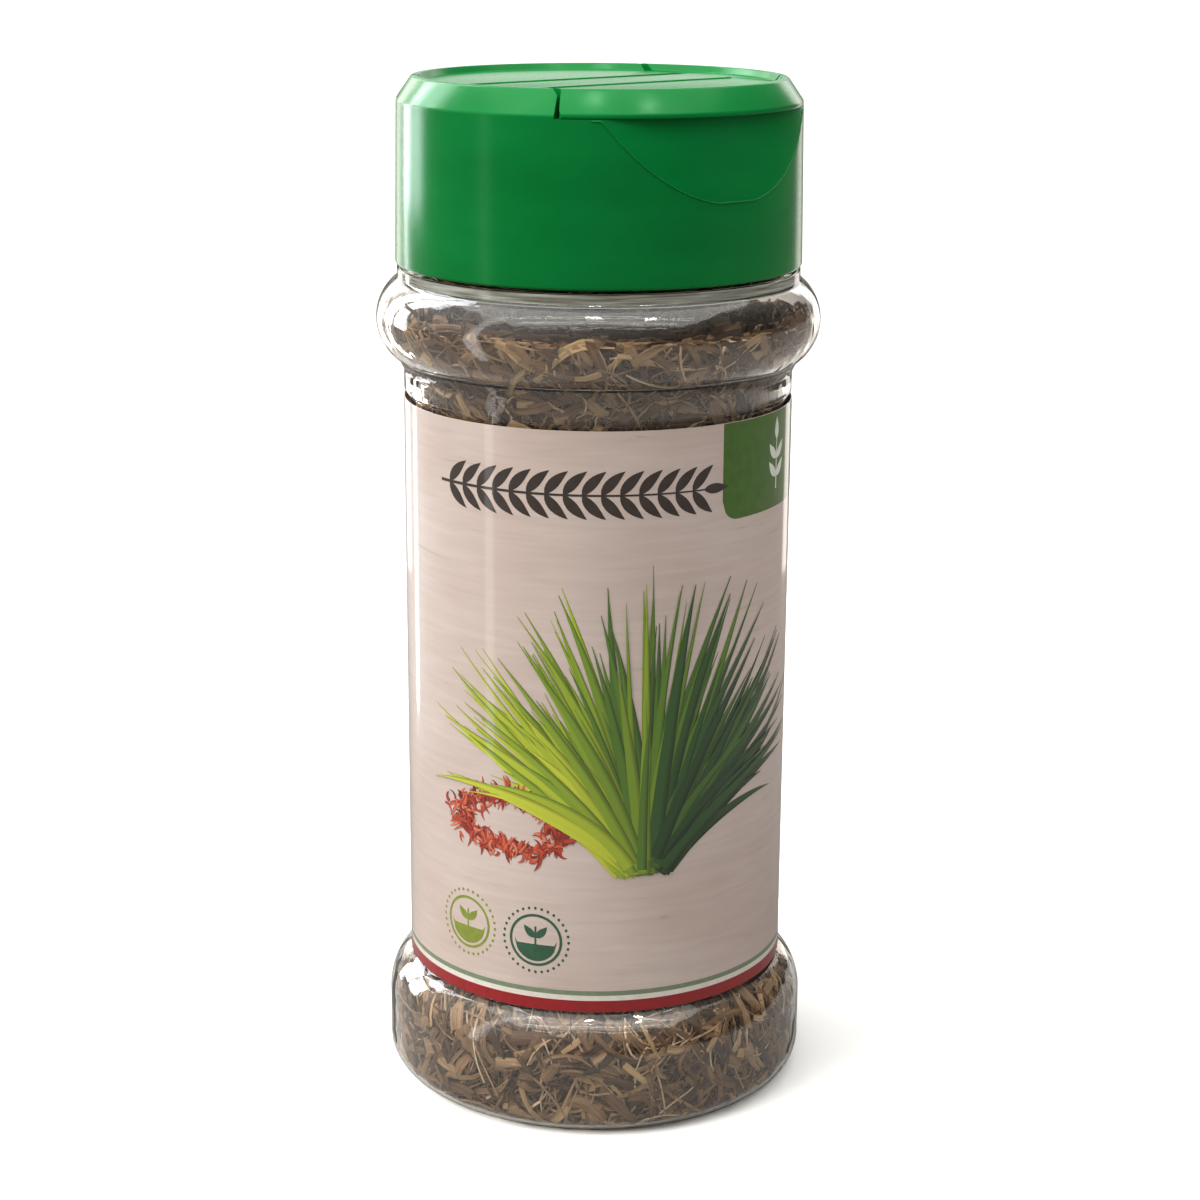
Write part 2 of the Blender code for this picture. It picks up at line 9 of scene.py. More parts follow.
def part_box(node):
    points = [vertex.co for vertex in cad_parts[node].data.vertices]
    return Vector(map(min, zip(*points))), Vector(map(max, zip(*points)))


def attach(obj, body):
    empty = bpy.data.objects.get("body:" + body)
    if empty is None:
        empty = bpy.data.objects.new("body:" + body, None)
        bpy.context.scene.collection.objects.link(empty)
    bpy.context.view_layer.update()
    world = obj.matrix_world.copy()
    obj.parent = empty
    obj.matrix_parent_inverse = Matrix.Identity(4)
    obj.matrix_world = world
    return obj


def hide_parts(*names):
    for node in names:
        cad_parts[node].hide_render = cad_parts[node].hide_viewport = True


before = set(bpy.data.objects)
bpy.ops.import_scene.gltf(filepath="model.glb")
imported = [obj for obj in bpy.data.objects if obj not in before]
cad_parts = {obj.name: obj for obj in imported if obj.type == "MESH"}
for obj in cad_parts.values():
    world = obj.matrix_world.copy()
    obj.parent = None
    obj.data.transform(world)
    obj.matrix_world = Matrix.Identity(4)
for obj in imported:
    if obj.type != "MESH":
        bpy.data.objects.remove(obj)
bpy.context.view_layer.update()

# Jar
# Clear PET, stretch-blown in a mould: a rounded foot with a push-up under it, a straight panel for the
# label between two bulges, and a threaded neck. The wall is under a millimetre and not quite even, so
# what is behind it shows through with soft ripples, and every curve of it catches a bright line.

MM = 0.001
SEGMENTS = 176
ON_AXIS = 0.01 * MM
JAR_BODY = "jar_with_cap"
jar_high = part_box("jar")[1]

BASE_RADIUS = 24.05 * MM
BASE_CORNER = 3.0 * MM
STANDING_RING_INNER = 18.3 * MM
PUSH_UP_RADIUS = 11.5 * MM
PUSH_UP_HEIGHT = 3.2 * MM
BASE_BULGE_RADIUS = 6.0 * MM
BASE_BULGE_HEIGHT = 8.6 * MM
WAIST_RADIUS = 21.5 * MM
WAIST_TOP = 82.2 * MM
PANEL_RADIUS = 21.15 * MM
PANEL_LOW = 13.9 * MM
PANEL_HIGH = 79.6 * MM
SHOULDER_RADIUS = jar_high.x
SHOULDER_BULGE_RADIUS = 5.4 * MM
SHOULDER_HEIGHT = 87.9 * MM
COLLAR_RADIUS = 22.1 * MM
COLLAR_TOP = 93.5 * MM
NECK_RADIUS = 19.35 * MM
NECK_BORE = 17.75 * MM
RIM_TOP = jar_high.z
WALL = 0.58 * MM
FLOOR = 0.45 * MM
BASE_CENTRE = (BASE_RADIUS - BASE_BULGE_RADIUS, BASE_BULGE_HEIGHT)
SHOULDER_CENTRE = (SHOULDER_RADIUS - SHOULDER_BULGE_RADIUS, SHOULDER_HEIGHT)
PET_IOR = 1.57
THREAD_PITCH = 4.2 * MM
THREAD_TURNS = 1.2
THREAD_START = 98.6 * MM
THREAD_DEPTH = 0.9 * MM
THREAD_ROOT_WIDTH = 2.0 * MM
THREAD_CREST_WIDTH = 0.9 * MM
THREAD_ROW = 0.3 * MM
THREAD_RUN_OUT = 0.125
WALL_TOUCH = 0.05 * MM


def arc(centre, radius, start, end, steps):
    """Points of an arc, with angles in degrees from the first axis."""
    angles = [math.radians(start + (end - start) * step / steps) for step in range(steps + 1)]
    return [(centre[0] + radius * math.cos(a), centre[1] + radius * math.sin(a)) for a in angles]


def fillet(before, corner, after, radius, steps):
    """Points of an arc that rounds a corner between two straight runs."""
    to_before = (before - corner).normalized()
    to_after = (after - corner).normalized()
    half = to_before.angle(to_after) / 2
    centre = corner + (to_before + to_after).normalized() * (radius / math.sin(half))
    start = corner + to_before * (radius / math.tan(half)) - centre
    end = corner + to_after * (radius / math.tan(half)) - centre
    sweep = start.angle_signed(end)
    turn = [Matrix.Rotation(-sweep * step / steps, 2) for step in range(steps + 1)]
    return [centre + rotation @ start for rotation in turn]


def outline(points, closed=False):
    """Path through (x, y) or (x, y, corner radius, steps) points, with its corners rounded."""
    places = [Vector(point[:2]) for point in points]
    path = []
    for index, point in enumerate(points):
        inner = closed or 0 < index < len(points) - 1
        if len(point) == 2 or not inner:
            path.append(places[index])
            continue
        before, after = places[index - 1], places[(index + 1) % len(points)]
        path += fillet(before, places[index], after, point[2], point[3])
    return path


def run(start, end, step):
    """Points along a straight stretch of a profile, a step apart or less, without its last point."""
    start, end = Vector(start[:2]), Vector(end[:2])
    count = math.ceil((end - start).length / step)
    return [tuple(start.lerp(end, n / count)) for n in range(count)]


def closed_mesh(body):
    """Mesh of a finished bmesh, with its faces pointing out."""
    bmesh.ops.recalc_face_normals(body, faces=body.faces)
    mesh = bpy.data.meshes.new("mesh")
    body.to_mesh(mesh)
    body.free()
    return mesh


def lathe(profile, segments=SEGMENTS):
    """Closed mesh turned about Z from (radius, height) points: solid from the axis, or else a ring."""
    body = bmesh.new()
    turn = [2 * math.pi * k / segments for k in range(segments)]
    rings = []
    for radius, height in profile:
        if radius < ON_AXIS:
            rings.append([body.verts.new((0.0, 0.0, height))])
            continue
        rings.append([body.verts.new((radius * math.cos(a), radius * math.sin(a), height)) for a in turn])
    if profile[0][0] > ON_AXIS:
        rings.append(rings[0])
    for ring, other in zip(rings, rings[1:]):
        for k in range(segments):
            near = [ring[step % len(ring)] for step in (k, k + 1)]
            far = [other[step % len(other)] for step in (k + 1, k)]
            body.faces.new(tuple(dict.fromkeys(near + far)))
    return closed_mesh(body)


def shaded(mesh, angle=35.0):
    """The mesh with smooth shading and its sharp edges kept."""
    mesh.shade_smooth()
    mesh.set_sharp_from_angle(angle=math.radians(angle))
    return mesh


def thread_share(angle, height, start):
    """Share of the thread's full depth at a place on the neck or in the skirt."""
    share = 0.0
    for turn in (0.0, 1.0):
        along = (angle / (2 * math.pi)) % 1.0 + turn
        if along > THREAD_TURNS:
            continue
        off = abs(height - start - THREAD_PITCH * along)
        flank = (THREAD_ROOT_WIDTH / 2 - off) / ((THREAD_ROOT_WIDTH - THREAD_CREST_WIDTH) / 2)
        run_out = min(along, THREAD_TURNS - along) / THREAD_RUN_OUT
        share = max(share, min(1.0, max(0.0, flank)) * min(1.0, run_out))
    return share


def cut_thread(mesh, radius, depth, start, start_angle):
    """Moves the rows of a cylinder in or out along the helix of a thread."""
    for vertex in mesh.vertices:
        place = math.hypot(vertex.co.x, vertex.co.y)
        if abs(place - radius) > ON_AXIS:
            continue
        angle = math.atan2(vertex.co.y, vertex.co.x) - start_angle
        scale = (radius + depth * thread_share(angle, vertex.co.z, start)) / place
        vertex.co.x *= scale
        vertex.co.y *= scale


def colour(code):
    """Linear RGBA of an sRGB hex code."""
    channels = [int(code[n:n + 2], 16) / 255 for n in (1, 3, 5)]
    linear = [c / 12.92 if c <= 0.04045 else ((c + 0.055) / 1.055) ** 2.4 for c in channels]
    return (*linear, 1.0)


def connect(node, inputs):
    """Sets a node's inputs, each to a value, a node's first output or the output that is given."""
    for socket, value in inputs.items():
        if isinstance(value, bpy.types.Node):
            value = value.outputs[0]
        if isinstance(value, bpy.types.NodeSocket):
            node.id_data.links.new(value, node.inputs[socket])
        else:
            node.inputs[socket].default_value = value


def add(tree, kind, inputs=(), stops=(), **settings):
    """Adds a shader node with its settings, inputs and, for a ramp, its stops of (position, hex colour)."""
    node = tree.nodes.new("ShaderNode" + kind)
    for setting, value in settings.items():
        setattr(node, setting, value)
    connect(node, dict(inputs))
    if stops:
        ramp = node.color_ramp.elements
        while len(ramp) < len(stops):
            ramp.new(0.5)
        for element, (position, code) in zip(ramp, stops):
            element.position = position
            element.color = colour(code)
    return node


def surface(name, **values):
    """New material, its node tree and its Principled shader with the given socket values."""
    made = bpy.data.materials.new(name)
    made.use_nodes = True
    tree = made.node_tree
    shader = tree.nodes["Principled BSDF"]
    connect(shader, {socket.replace("_", " "): value for socket, value in values.items()})
    return made, tree, shader


def placed(name, data):
    """New object in the scene with a mesh, lamp or camera as its data."""
    obj = bpy.data.objects.new(name, data)
    bpy.context.scene.collection.objects.link(obj)
    return obj


def piece(name, mesh, finish, body, slot, *nodes):
    """Object that rides on a body, in the CAD nodes' place."""
    mesh.materials.clear()
    mesh.materials.append(finish)
    obj = placed(name, mesh)
    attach(obj, body)
    if nodes:
        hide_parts(*nodes)
    return obj


def inner_radius(height):
    """Radius of the jar's inner wall at a height, from the floor's corner up to the bore."""
    if height > COLLAR_TOP:
        return NECK_BORE
    corner = BASE_CORNER - WALL
    if height < FLOOR + corner:
        drop = FLOOR + corner - height
        return BASE_RADIUS - WALL - corner + math.sqrt(max(0.0, corner ** 2 - drop ** 2))
    if height < BASE_BULGE_HEIGHT:
        return BASE_RADIUS - WALL
    radius = PANEL_RADIUS - WALL
    for centre, outer in ((BASE_CENTRE, BASE_BULGE_RADIUS), (SHOULDER_CENTRE, SHOULDER_BULGE_RADIUS)):
        bulge = outer - WALL
        away = abs(height - centre[1])
        if away < bulge:
            radius = max(radius, centre[0] + math.sqrt(bulge ** 2 - away ** 2))
    return radius


def jar_profile():
    """Closed section of the jar: the cavity from the floor's middle up, over the rim, and down outside."""
    waist = PANEL_RADIUS - WALL
    cavity = outline([
        (0.0, PUSH_UP_HEIGHT + FLOOR),
        (PUSH_UP_RADIUS + 0.3 * MM, PUSH_UP_HEIGHT + FLOOR, 3.0 * MM, 5),
        (STANDING_RING_INNER + 0.3 * MM, FLOOR, 1.5 * MM, 4),
        (BASE_RADIUS - WALL, FLOOR, BASE_CORNER - WALL, 8),
        (BASE_RADIUS - WALL, BASE_BULGE_HEIGHT),
    ])
    cavity += arc(BASE_CENTRE, BASE_BULGE_RADIUS - WALL, 3.0, 56.0, 12)
    cavity += [(waist, PANEL_LOW + 0.8 * MM), (waist, WAIST_TOP - 0.6 * MM)]
    cavity += arc(SHOULDER_CENTRE, SHOULDER_BULGE_RADIUS - WALL, -66.0, 66.0, 24)
    cavity += [(NECK_BORE + 0.6 * MM, COLLAR_TOP - 0.6 * MM), (NECK_BORE, COLLAR_TOP + 0.3 * MM)]
    rim = arc((NECK_BORE + 0.4 * MM, RIM_TOP - 0.4 * MM), 0.4 * MM, 180.0, 90.0, 4)
    rim += arc((NECK_RADIUS - 0.4 * MM, RIM_TOP - 0.4 * MM), 0.4 * MM, 90.0, 0.0, 4)
    neck = run((NECK_RADIUS, RIM_TOP - 1.0 * MM), (NECK_RADIUS, COLLAR_TOP + 1.5 * MM), THREAD_ROW)
    collar = outline([
        neck[-1],
        (NECK_RADIUS, COLLAR_TOP, 0.5 * MM, 4),
        (COLLAR_RADIUS, COLLAR_TOP, 0.5 * MM, 6),
        (COLLAR_RADIUS, COLLAR_TOP - 1.0 * MM),
    ])[1:]
    shoulder = arc(SHOULDER_CENTRE, SHOULDER_BULGE_RADIUS, 55.0, -56.0, 26)
    base = arc(BASE_CENTRE, BASE_BULGE_RADIUS, 51.0, 0.0, 14)
    waists = outline([
        shoulder[-1],
        (WAIST_RADIUS, WAIST_TOP, 0.8 * MM, 5),
        (WAIST_RADIUS, PANEL_HIGH + 0.5 * MM, 0.3 * MM, 3),
        (PANEL_RADIUS, PANEL_HIGH, 0.2 * MM, 2),
        (PANEL_RADIUS, PANEL_LOW, 0.5 * MM, 4),
        base[0],
    ])[1:-1]
    foot = outline([
        (BASE_RADIUS, BASE_BULGE_HEIGHT - 1.0 * MM),
        (BASE_RADIUS, 0.0, BASE_CORNER, 10),
        (STANDING_RING_INNER, 0.0, 1.0 * MM, 4),
        (PUSH_UP_RADIUS, PUSH_UP_HEIGHT, 3.0 * MM, 6),
        (0.0, PUSH_UP_HEIGHT),
    ])
    return cavity + rim + neck + collar + shoulder + waists + base + foot


def clear_pet():
    """Blown PET: glassy, hardly tinted, with the soft ripples that blowing leaves in the wall."""
    made, tree, shader = surface("clear_blown_PET", Base_Color=colour("#faf7f2"), Roughness=0.03,
                                 IOR=PET_IOR, Transmission_Weight=1.0)
    place = add(tree, "TexCoord").outputs["Object"]
    ripple_size = 7.0 * MM
    ripples = add(tree, "TexNoise", {"Vector": place, "Scale": 1 / ripple_size, "Detail": 2.0})
    bump = add(tree, "Bump", {"Height": ripples, "Strength": 1.0, "Distance": 0.16 * MM})
    connect(shader, {"Normal": bump})
    see_through = add(tree, "BsdfTransparent", {"Color": colour("#faf8f4")})
    in_shadow = add(tree, "LightPath").outputs["Is Shadow Ray"]
    mix = add(tree, "MixShader", {0: in_shadow, 1: shader, 2: see_through})
    connect(tree.nodes["Material Output"], {"Surface": mix})
    return made


def painted_reflection_pet():
    """Pale, streaked, half see-through PET band below the neck: painted reflection that stands in for the
    bright lines the collar reflects, and hides the dark seen through it.
    """
    made, tree, shader = surface("pet_painted_reflection_band", Roughness=0.12, IOR=PET_IOR,
                                 Transmission_Weight=0.55)
    place = add(tree, "TexCoord").outputs["Object"]
    streak_scale = (1 / (6.0 * MM), 1 / (6.0 * MM), 1 / (0.25 * MM))
    streak_place = add(tree, "Mapping", {"Vector": place, "Scale": streak_scale})
    streaks = add(tree, "TexNoise", {"Vector": streak_place, "Scale": 1.0, "Detail": 3.0})
    # Painted reflection: these pale grey-to-white streaks stand in for reflected light, not a tint of the
    # plastic.
    tones = add(tree, "ValToRGB", {"Fac": streaks.outputs["Fac"]},
                stops=[(0.35, "#8f8c7c"), (0.55, "#cfd0c2"), (0.7, "#f2f3ea")])
    connect(shader, {"Base Color": tones})
    return made


jar_mesh = lathe(jar_profile())
cut_thread(jar_mesh, NECK_RADIUS, THREAD_DEPTH, THREAD_START, 0.0)
piece("jar_wall", shaded(jar_mesh), clear_pet(), JAR_BODY, "clear_pet", "jar")
# Thin ring just outside the collar, under the cap, that carries the painted reflection.
reflection_band_inner, reflection_band_outer = COLLAR_RADIUS + 0.01 * MM, COLLAR_RADIUS + 0.04 * MM
reflection_band_low, reflection_band_high = COLLAR_TOP - 1.15 * MM, COLLAR_TOP - 0.1 * MM
reflection_band_ring = [(reflection_band_inner, reflection_band_low), (reflection_band_outer, reflection_band_low),
             (reflection_band_outer, reflection_band_high), (reflection_band_inner, reflection_band_high)]
piece("collar_painted_reflection", shaded(lathe(reflection_band_ring)), painted_reflection_pet(), JAR_BODY, "clear_pet")

# Herb
# Lemongrass, cut across and dried: flat strips of leaf blade, thin split fibres and thicker bits of stem,
# straw to grey-brown, packed against the wall. Only the outer few millimetres can be seen.

HERB_TOP = 86.8 * MM
CORE_INSET = 2.6 * MM
CORE_FOOT = 1.6 * MM
CORE_ROWS = 70
WALL_CLEARANCE = 0.12 * MM
HERB_BANDS = [(0.47, 0.5 * MM, 15.5 * MM), (0.39, 73.0 * MM, 87.6 * MM), (0.06, 15.5 * MM, 73.0 * MM)]
LEAF_TONES = [(0.0, "#2e2017"), (0.3, "#59412f"), (0.55, "#70563f"), (0.8, "#886c51"), (1.0, "#b0956f")]
FIBRE_TONES = [(0.0, "#543e2c"), (0.4, "#81664a"), (0.75, "#b0977a"), (1.0, "#dccbae")]
STEM_TONES = [(0.0, "#523c2e"), (0.5, "#81664c"), (1.0, "#b49a78")]
STRIP_WAVE = 0.3 * MM
STRIP_WAVE_LENGTH = 1.7 * MM
TONE_SHIFT = 7.0
herb_random = random.Random(21)
between = herb_random.uniform


def herb_core_mesh():
    """Packed middle of the herb, lumpy and a little smaller than the cavity."""
    heights = [CORE_FOOT + (HERB_TOP - CORE_FOOT) * n / CORE_ROWS for n in range(CORE_ROWS + 1)]
    sides = [(inner_radius(z) - CORE_INSET, z) for z in reversed(heights)]
    crown = run((0.0, HERB_TOP + 0.6 * MM), (sides[0][0], HERB_TOP), 1.0 * MM)
    floor = PUSH_UP_HEIGHT + FLOOR + 0.5 * MM
    foot = [(STANDING_RING_INNER + 0.6 * MM, FLOOR + 0.4 * MM), (PUSH_UP_RADIUS, floor), (0.0, floor)]
    mesh = lathe(crown + sides + foot, segments=128)
    for vertex in mesh.vertices:
        lump = noise.noise(vertex.co / (2.5 * MM)) + 0.5 * noise.noise(vertex.co / (0.9 * MM))
        vertex.co.x *= 1.0 + 0.03 * lump
        vertex.co.y *= 1.0 + 0.03 * lump
        if vertex.co.z > HERB_TOP - 1.0 * MM:
            vertex.co.z += 0.8 * MM * lump
    return mesh


def crushed_herb():
    """The herb's shaded inside: dark brown crumbs between the strips."""
    made, tree, shader = surface("dried_herb_inside", Roughness=0.9, Specular_IOR_Level=0.2)
    place = add(tree, "TexCoord").outputs["Object"]
    crumbs = add(tree, "TexNoise", {"Vector": place, "Scale": 1 / (1.2 * MM), "Detail": 6.0})
    tones = add(tree, "ValToRGB", {"Fac": crumbs},
                stops=[(0.3, "#2e1f16"), (0.55, "#6a4e38"), (0.75, "#9a7a5a")])
    bump = add(tree, "Bump", {"Height": crumbs, "Distance": 0.5 * MM})
    connect(shader, {"Base Color": tones, "Normal": bump})
    return made


def dried_leaf(name, stops, vein, roughness):
    """Dried blade or stem: each strip its own tone, with veins along it."""
    made, tree, shader = surface(name, Roughness=roughness, Specular_IOR_Level=0.35)
    tone = add(tree, "Attribute", attribute_name="tone")
    tones = add(tree, "ValToRGB", {"Fac": tone.outputs["Fac"]}, stops=stops)
    lengthwise = add(tree, "TexCoord").outputs["UV"]
    stretch = add(tree, "Mapping", {"Vector": lengthwise, "Scale": (1 / vein, 1 / (6.0 * MM), 1.0)})
    veins = add(tree, "TexNoise", {"Vector": stretch, "Scale": 1.0, "Detail": 4.0})
    light = add(tree, "MapRange", {"Value": veins, "From Min": 0.3, "From Max": 0.7,
                                   "To Min": 0.55, "To Max": 1.35})
    streaked = add(tree, "VectorMath", {0: tones, "Scale": light}, operation="SCALE")
    bump = add(tree, "Bump", {"Height": veins, "Distance": 0.08 * MM})
    connect(shader, {"Base Color": streaked, "Normal": bump})
    return made


def strip_path(where, heading, length, bend, dive, stations):
    """Centre points of a strip that follows the wall's curve, as (angle, height, depth) changes."""
    angle, height, depth = where
    points = []
    for n in range(stations):
        along = length * (n / (stations - 1) - 0.5)
        turned = heading + bend * along / length
        around = along * math.cos(turned)
        up = along * math.sin(turned)
        z = min(max(height + up, FLOOR + WALL_CLEARANCE), HERB_TOP + 1.5 * MM)
        inside = depth + dive * along + STRIP_WAVE * math.sin(along / STRIP_WAVE_LENGTH + heading)
        radius = inner_radius(z) - WALL_CLEARANCE - max(0.0, inside)
        a = angle + around / radius
        points.append(Vector((radius * math.cos(a), radius * math.sin(a), z)))
    return points


def sweep(body, layers, section, points, roll, cut, tone):
    """Sweeps a section of (across, thickness) points along a path, narrowed by a share at its end."""
    uv_layer, tone_layer = layers
    rings = []
    length = 0.0
    lengths = []
    for n, point in enumerate(points):
        ahead = points[min(n + 1, len(points) - 1)] - points[max(n - 1, 0)]
        outward = Vector((point.x, point.y, 0.0)).normalized()
        forward = ahead.normalized()
        across = (Matrix.Rotation(roll, 3, forward) @ forward.cross(outward)).normalized()
        up = across.cross(forward).normalized()
        narrow = 1.0 - cut * (n / (len(points) - 1)) ** 3
        ring = [body.verts.new(point + across * (x * narrow) + up * y) for x, y in section]
        for vertex in ring:
            vertex[tone_layer] = tone
            radius = math.hypot(vertex.co.x, vertex.co.y)
            limit = inner_radius(min(max(vertex.co.z, FLOOR + WALL_TOUCH), RIM_TOP)) - WALL_TOUCH
            if radius > limit:
                vertex.co.x *= limit / radius
                vertex.co.y *= limit / radius
            vertex.co.z = max(vertex.co.z, FLOOR + WALL_TOUCH)
        length += (point - points[max(n - 1, 0)]).length
        lengths.append(length)
        rings.append(ring)
    count = len(section)
    offset = tone * TONE_SHIFT
    for n in range(len(rings) - 1):
        for k in range(count):
            after = (k + 1) % count
            spots = ((n, k), (n, after), (n + 1, after), (n + 1, k))
            face = body.faces.new([rings[row][column] for row, column in spots])
            for loop, (row, column) in zip(face.loops, spots):
                loop[uv_layer].uv = (section[column][0] + offset, lengths[row] + offset)
    body.faces.new(rings[0])
    body.faces.new(list(reversed(rings[-1])))


def herb_band():
    """Angle, height and depth of the next strip, crowded where the jar is clear of its label."""
    angle = between(0.0, 2 * math.pi)
    share = herb_random.random()
    depth = between(0.0, 2.4) * MM
    for part, low, high in HERB_BANDS:
        if share < part:
            return angle, between(low, high), depth
        share -= part
    deep = inner_radius(HERB_TOP) * (1.0 - math.sqrt(between(0.03, 1.0)))
    return angle, HERB_TOP + between(0.4, 1.6) * MM, deep


def herb_mesh(count, make):
    """Mesh of many cut pieces: a function gives each one's section, path, roll, share cut and tone."""
    body = bmesh.new()
    layers = (body.loops.layers.uv.new("along"), body.verts.layers.float.new("tone"))
    for _ in range(count):
        sweep(body, layers, *make(herb_band()))
    return closed_mesh(body)


def leaf_strip(where):
    """Flat strip of blade, slightly gutter-shaped across."""
    width = between(0.6, 1.5) * MM
    cup = width * between(-0.18, 0.18)
    thick = 0.12 * MM
    section = [(-width / 2, cup), (0.0, 0.0), (width / 2, cup),
               (width / 2, cup + thick), (0.0, thick), (-width / 2, cup + thick)]
    heading = between(-1.3, 1.3) + herb_random.choice((0.0, math.pi))
    path = strip_path(where, heading, between(2.5, 8.0) * MM, between(-0.6, 0.6), between(-0.18, 0.18), 6)
    return section, path, herb_random.gauss(0.0, 0.5), between(0.1, 0.8), herb_random.random()


def leaf_shred(where):
    """Narrow shred of blade, split along its veins."""
    width = between(0.28, 0.75) * MM
    thick = 0.1 * MM
    section = [(-width / 2, 0.0), (width / 2, 0.0), (width / 2, thick), (-width / 2, thick)]
    heading = between(-1.5, 1.5)
    path = strip_path(where, heading, between(2.5, 9.0) * MM, between(-1.0, 1.0), between(-0.16, 0.16), 6)
    return section, path, herb_random.gauss(0.0, 0.7), between(0.2, 0.8), herb_random.random()


def fibre(where):
    """Thin split fibre, three-sided and curved."""
    width = between(0.12, 0.30) * MM
    section = [(-width / 2, 0.0), (width / 2, 0.0), (0.0, width * 0.8)]
    heading = between(-1.5, 1.5)
    path = strip_path(where, heading, between(4.0, 13.0) * MM, between(-1.6, 1.6), between(-0.15, 0.15), 8)
    return section, path, between(0.0, 3.0), 0.7, herb_random.random()


def stem_bit(where):
    """Short thick piece of stem, cut square."""
    width = between(0.9, 2.4) * MM
    thick = between(0.3, 0.7) * MM
    section = [(-width / 2, 0.0), (-width / 4, -thick / 2), (width / 4, -thick / 2), (width / 2, 0.0),
               (width / 4, thick / 2), (-width / 4, thick / 2)]
    heading = between(-1.5, 1.5)
    path = strip_path(where, heading, between(1.8, 4.6) * MM, between(-0.3, 0.3), between(-0.2, 0.2), 4)
    return section, path, herb_random.gauss(0.0, 0.6), 0.2, herb_random.random()


blade_finish = dried_leaf("dried_leaf_blade", LEAF_TONES, 0.25 * MM, 0.7)
fibre_finish = dried_leaf("dried_leaf_fibre", FIBRE_TONES, 0.12 * MM, 0.6)
stem_finish = dried_leaf("dried_stem", STEM_TONES, 0.2 * MM, 0.75)
piece("herb_core", shaded(herb_core_mesh(), 180.0), crushed_herb(), JAR_BODY, "dried_herb", "herb_fill")
for herb_name, count, make, finish in (("herb_leaf", 1700, leaf_strip, blade_finish),
                                       ("herb_shreds", 3400, leaf_shred, blade_finish),
                                       ("herb_fibres", 3900, fibre, fibre_finish),
                                       ("herb_stem_bits", 620, stem_bit, stem_finish)):
    piece(herb_name, herb_mesh(count, make), finish, JAR_BODY, "dried_herb")

# Label
# Printed plastic film with a clear gloss laminate, wrapped once round the panel and lapped at the back.
# The print is a pale weathered board with a tuft of grass, a ring of russet clippings, leaf sprigs and two
# small round ornaments. The laminate gives narrow bright lines down both sides.

LABEL_LOW = 14.1
LABEL_HIGH = 79.2
LABEL_FACE = 21.55
LABEL_THICKNESS = 0.09
LAP = 5.0
LAP_RAMP = 1.5
PRINT_DEPTH = 0.025
GROUND_LIFT = 0.012
INK_LIFT = 0.02
LINE_LIFT = 0.03
FLATS = 176
FLAT_WIDTH = 2 * math.pi * LABEL_FACE / FLATS
UPRIGHT = math.pi / 2
label_half = math.pi * LABEL_FACE
lap_start = label_half - LAP


def on_label(place):
    """Wraps (s round from the front's middle, height, lift off the face), in mm, onto the film's flats."""
    number = math.floor(place.x / FLAT_WIDTH)
    turn = 2 * math.pi / FLATS
    near, far = (Matrix.Rotation(n * turn, 2) @ Vector((0.0, -1.0)) for n in (number, number + 1))
    spot = near.lerp(far, place.x / FLAT_WIDTH - number) * (LABEL_FACE + place.z) * MM
    return Vector((spot.x, spot.y, place.y * MM))


def flat_drawing():
    """Empty drawing, flat in (s, height, lift), with a tone for each shape and a share across it."""
    body = bmesh.new()
    body.loops.layers.uv.new("across")
    body.verts.layers.float.new("tone")
    return body


def lay(body, edges, lift, tone=0.5, columns=1, depth=PRINT_DEPTH):
    """Adds a thin closed shape to a flat drawing, from pairs of (s, height) edge points."""
    uv_layer = body.loops.layers.uv["across"]
    tone_layer = body.verts.layers.float["tone"]
    rise = lift if callable(lift) else (lambda s: lift)
    grid = []
    for left, right in edges:
        row = []
        for k in range(columns + 1):
            s = left[0] + (right[0] - left[0]) * k / columns
            z = left[1] + (right[1] - left[1]) * k / columns
            pair = [body.verts.new((s, z, rise(s) - under)) for under in (0.0, depth)]
            for vertex in pair:
                vertex[tone_layer] = tone
            row.append(pair)
        grid.append(row)
    rows = len(grid)

    def face(*spots):
        new = body.faces.new([grid[n][k][side] for n, k, side in spots])
        for loop, (n, k, _) in zip(new.loops, spots):
            loop[uv_layer].uv = (k / columns, n / (rows - 1))

    for n in range(rows - 1):
        for k in range(columns):
            face((n, k, 0), (n, k + 1, 0), (n + 1, k + 1, 0), (n + 1, k, 0))
            face((n + 1, k, 1), (n + 1, k + 1, 1), (n, k + 1, 1), (n, k, 1))
        for k in (0, columns):
            face((n, k, 0), (n + 1, k, 0), (n + 1, k, 1), (n, k, 1))
    for n in (0, rows - 1):
        for k in range(columns):
            face((n, k, 0), (n, k + 1, 0), (n, k + 1, 1), (n, k, 1))


def wrapped(body):
    """Mesh of a flat drawing cut where the film's flats meet and wrapped onto them, shaded truly round."""
    low = math.ceil(min(vertex.co.x for vertex in body.verts) / FLAT_WIDTH)
    high = math.floor(max(vertex.co.x for vertex in body.verts) / FLAT_WIDTH)
    for number in range(low, high + 1):
        parts = body.verts[:] + body.edges[:] + body.faces[:]
        bmesh.ops.bisect_plane(body, geom=parts, dist=0.0001, plane_co=(number * FLAT_WIDTH, 0.0, 0.0),
                               plane_no=(1.0, 0.0, 0.0))
    for vertex in body.verts:
        vertex.co = on_label(vertex.co)
    mesh = closed_mesh(body)
    mesh.shade_smooth()
    normals = []
    for polygon in mesh.polygons:
        for index in polygon.vertices:
            place = mesh.vertices[index].co
            outward = Vector((place.x, place.y, 0.0)).normalized()
            facing = outward.dot(polygon.normal)
            normals.append(outward * math.copysign(1.0, facing) if abs(facing) > 0.5 else polygon.normal)
    mesh.normals_split_custom_set(normals)
    return mesh


def laminated(name):
    """New material for print, coated with the clear gloss film that covers all of it."""
    return surface(name, Roughness=0.45, Coat_Weight=1.0, Coat_Roughness=0.09, Coat_IOR=1.5)


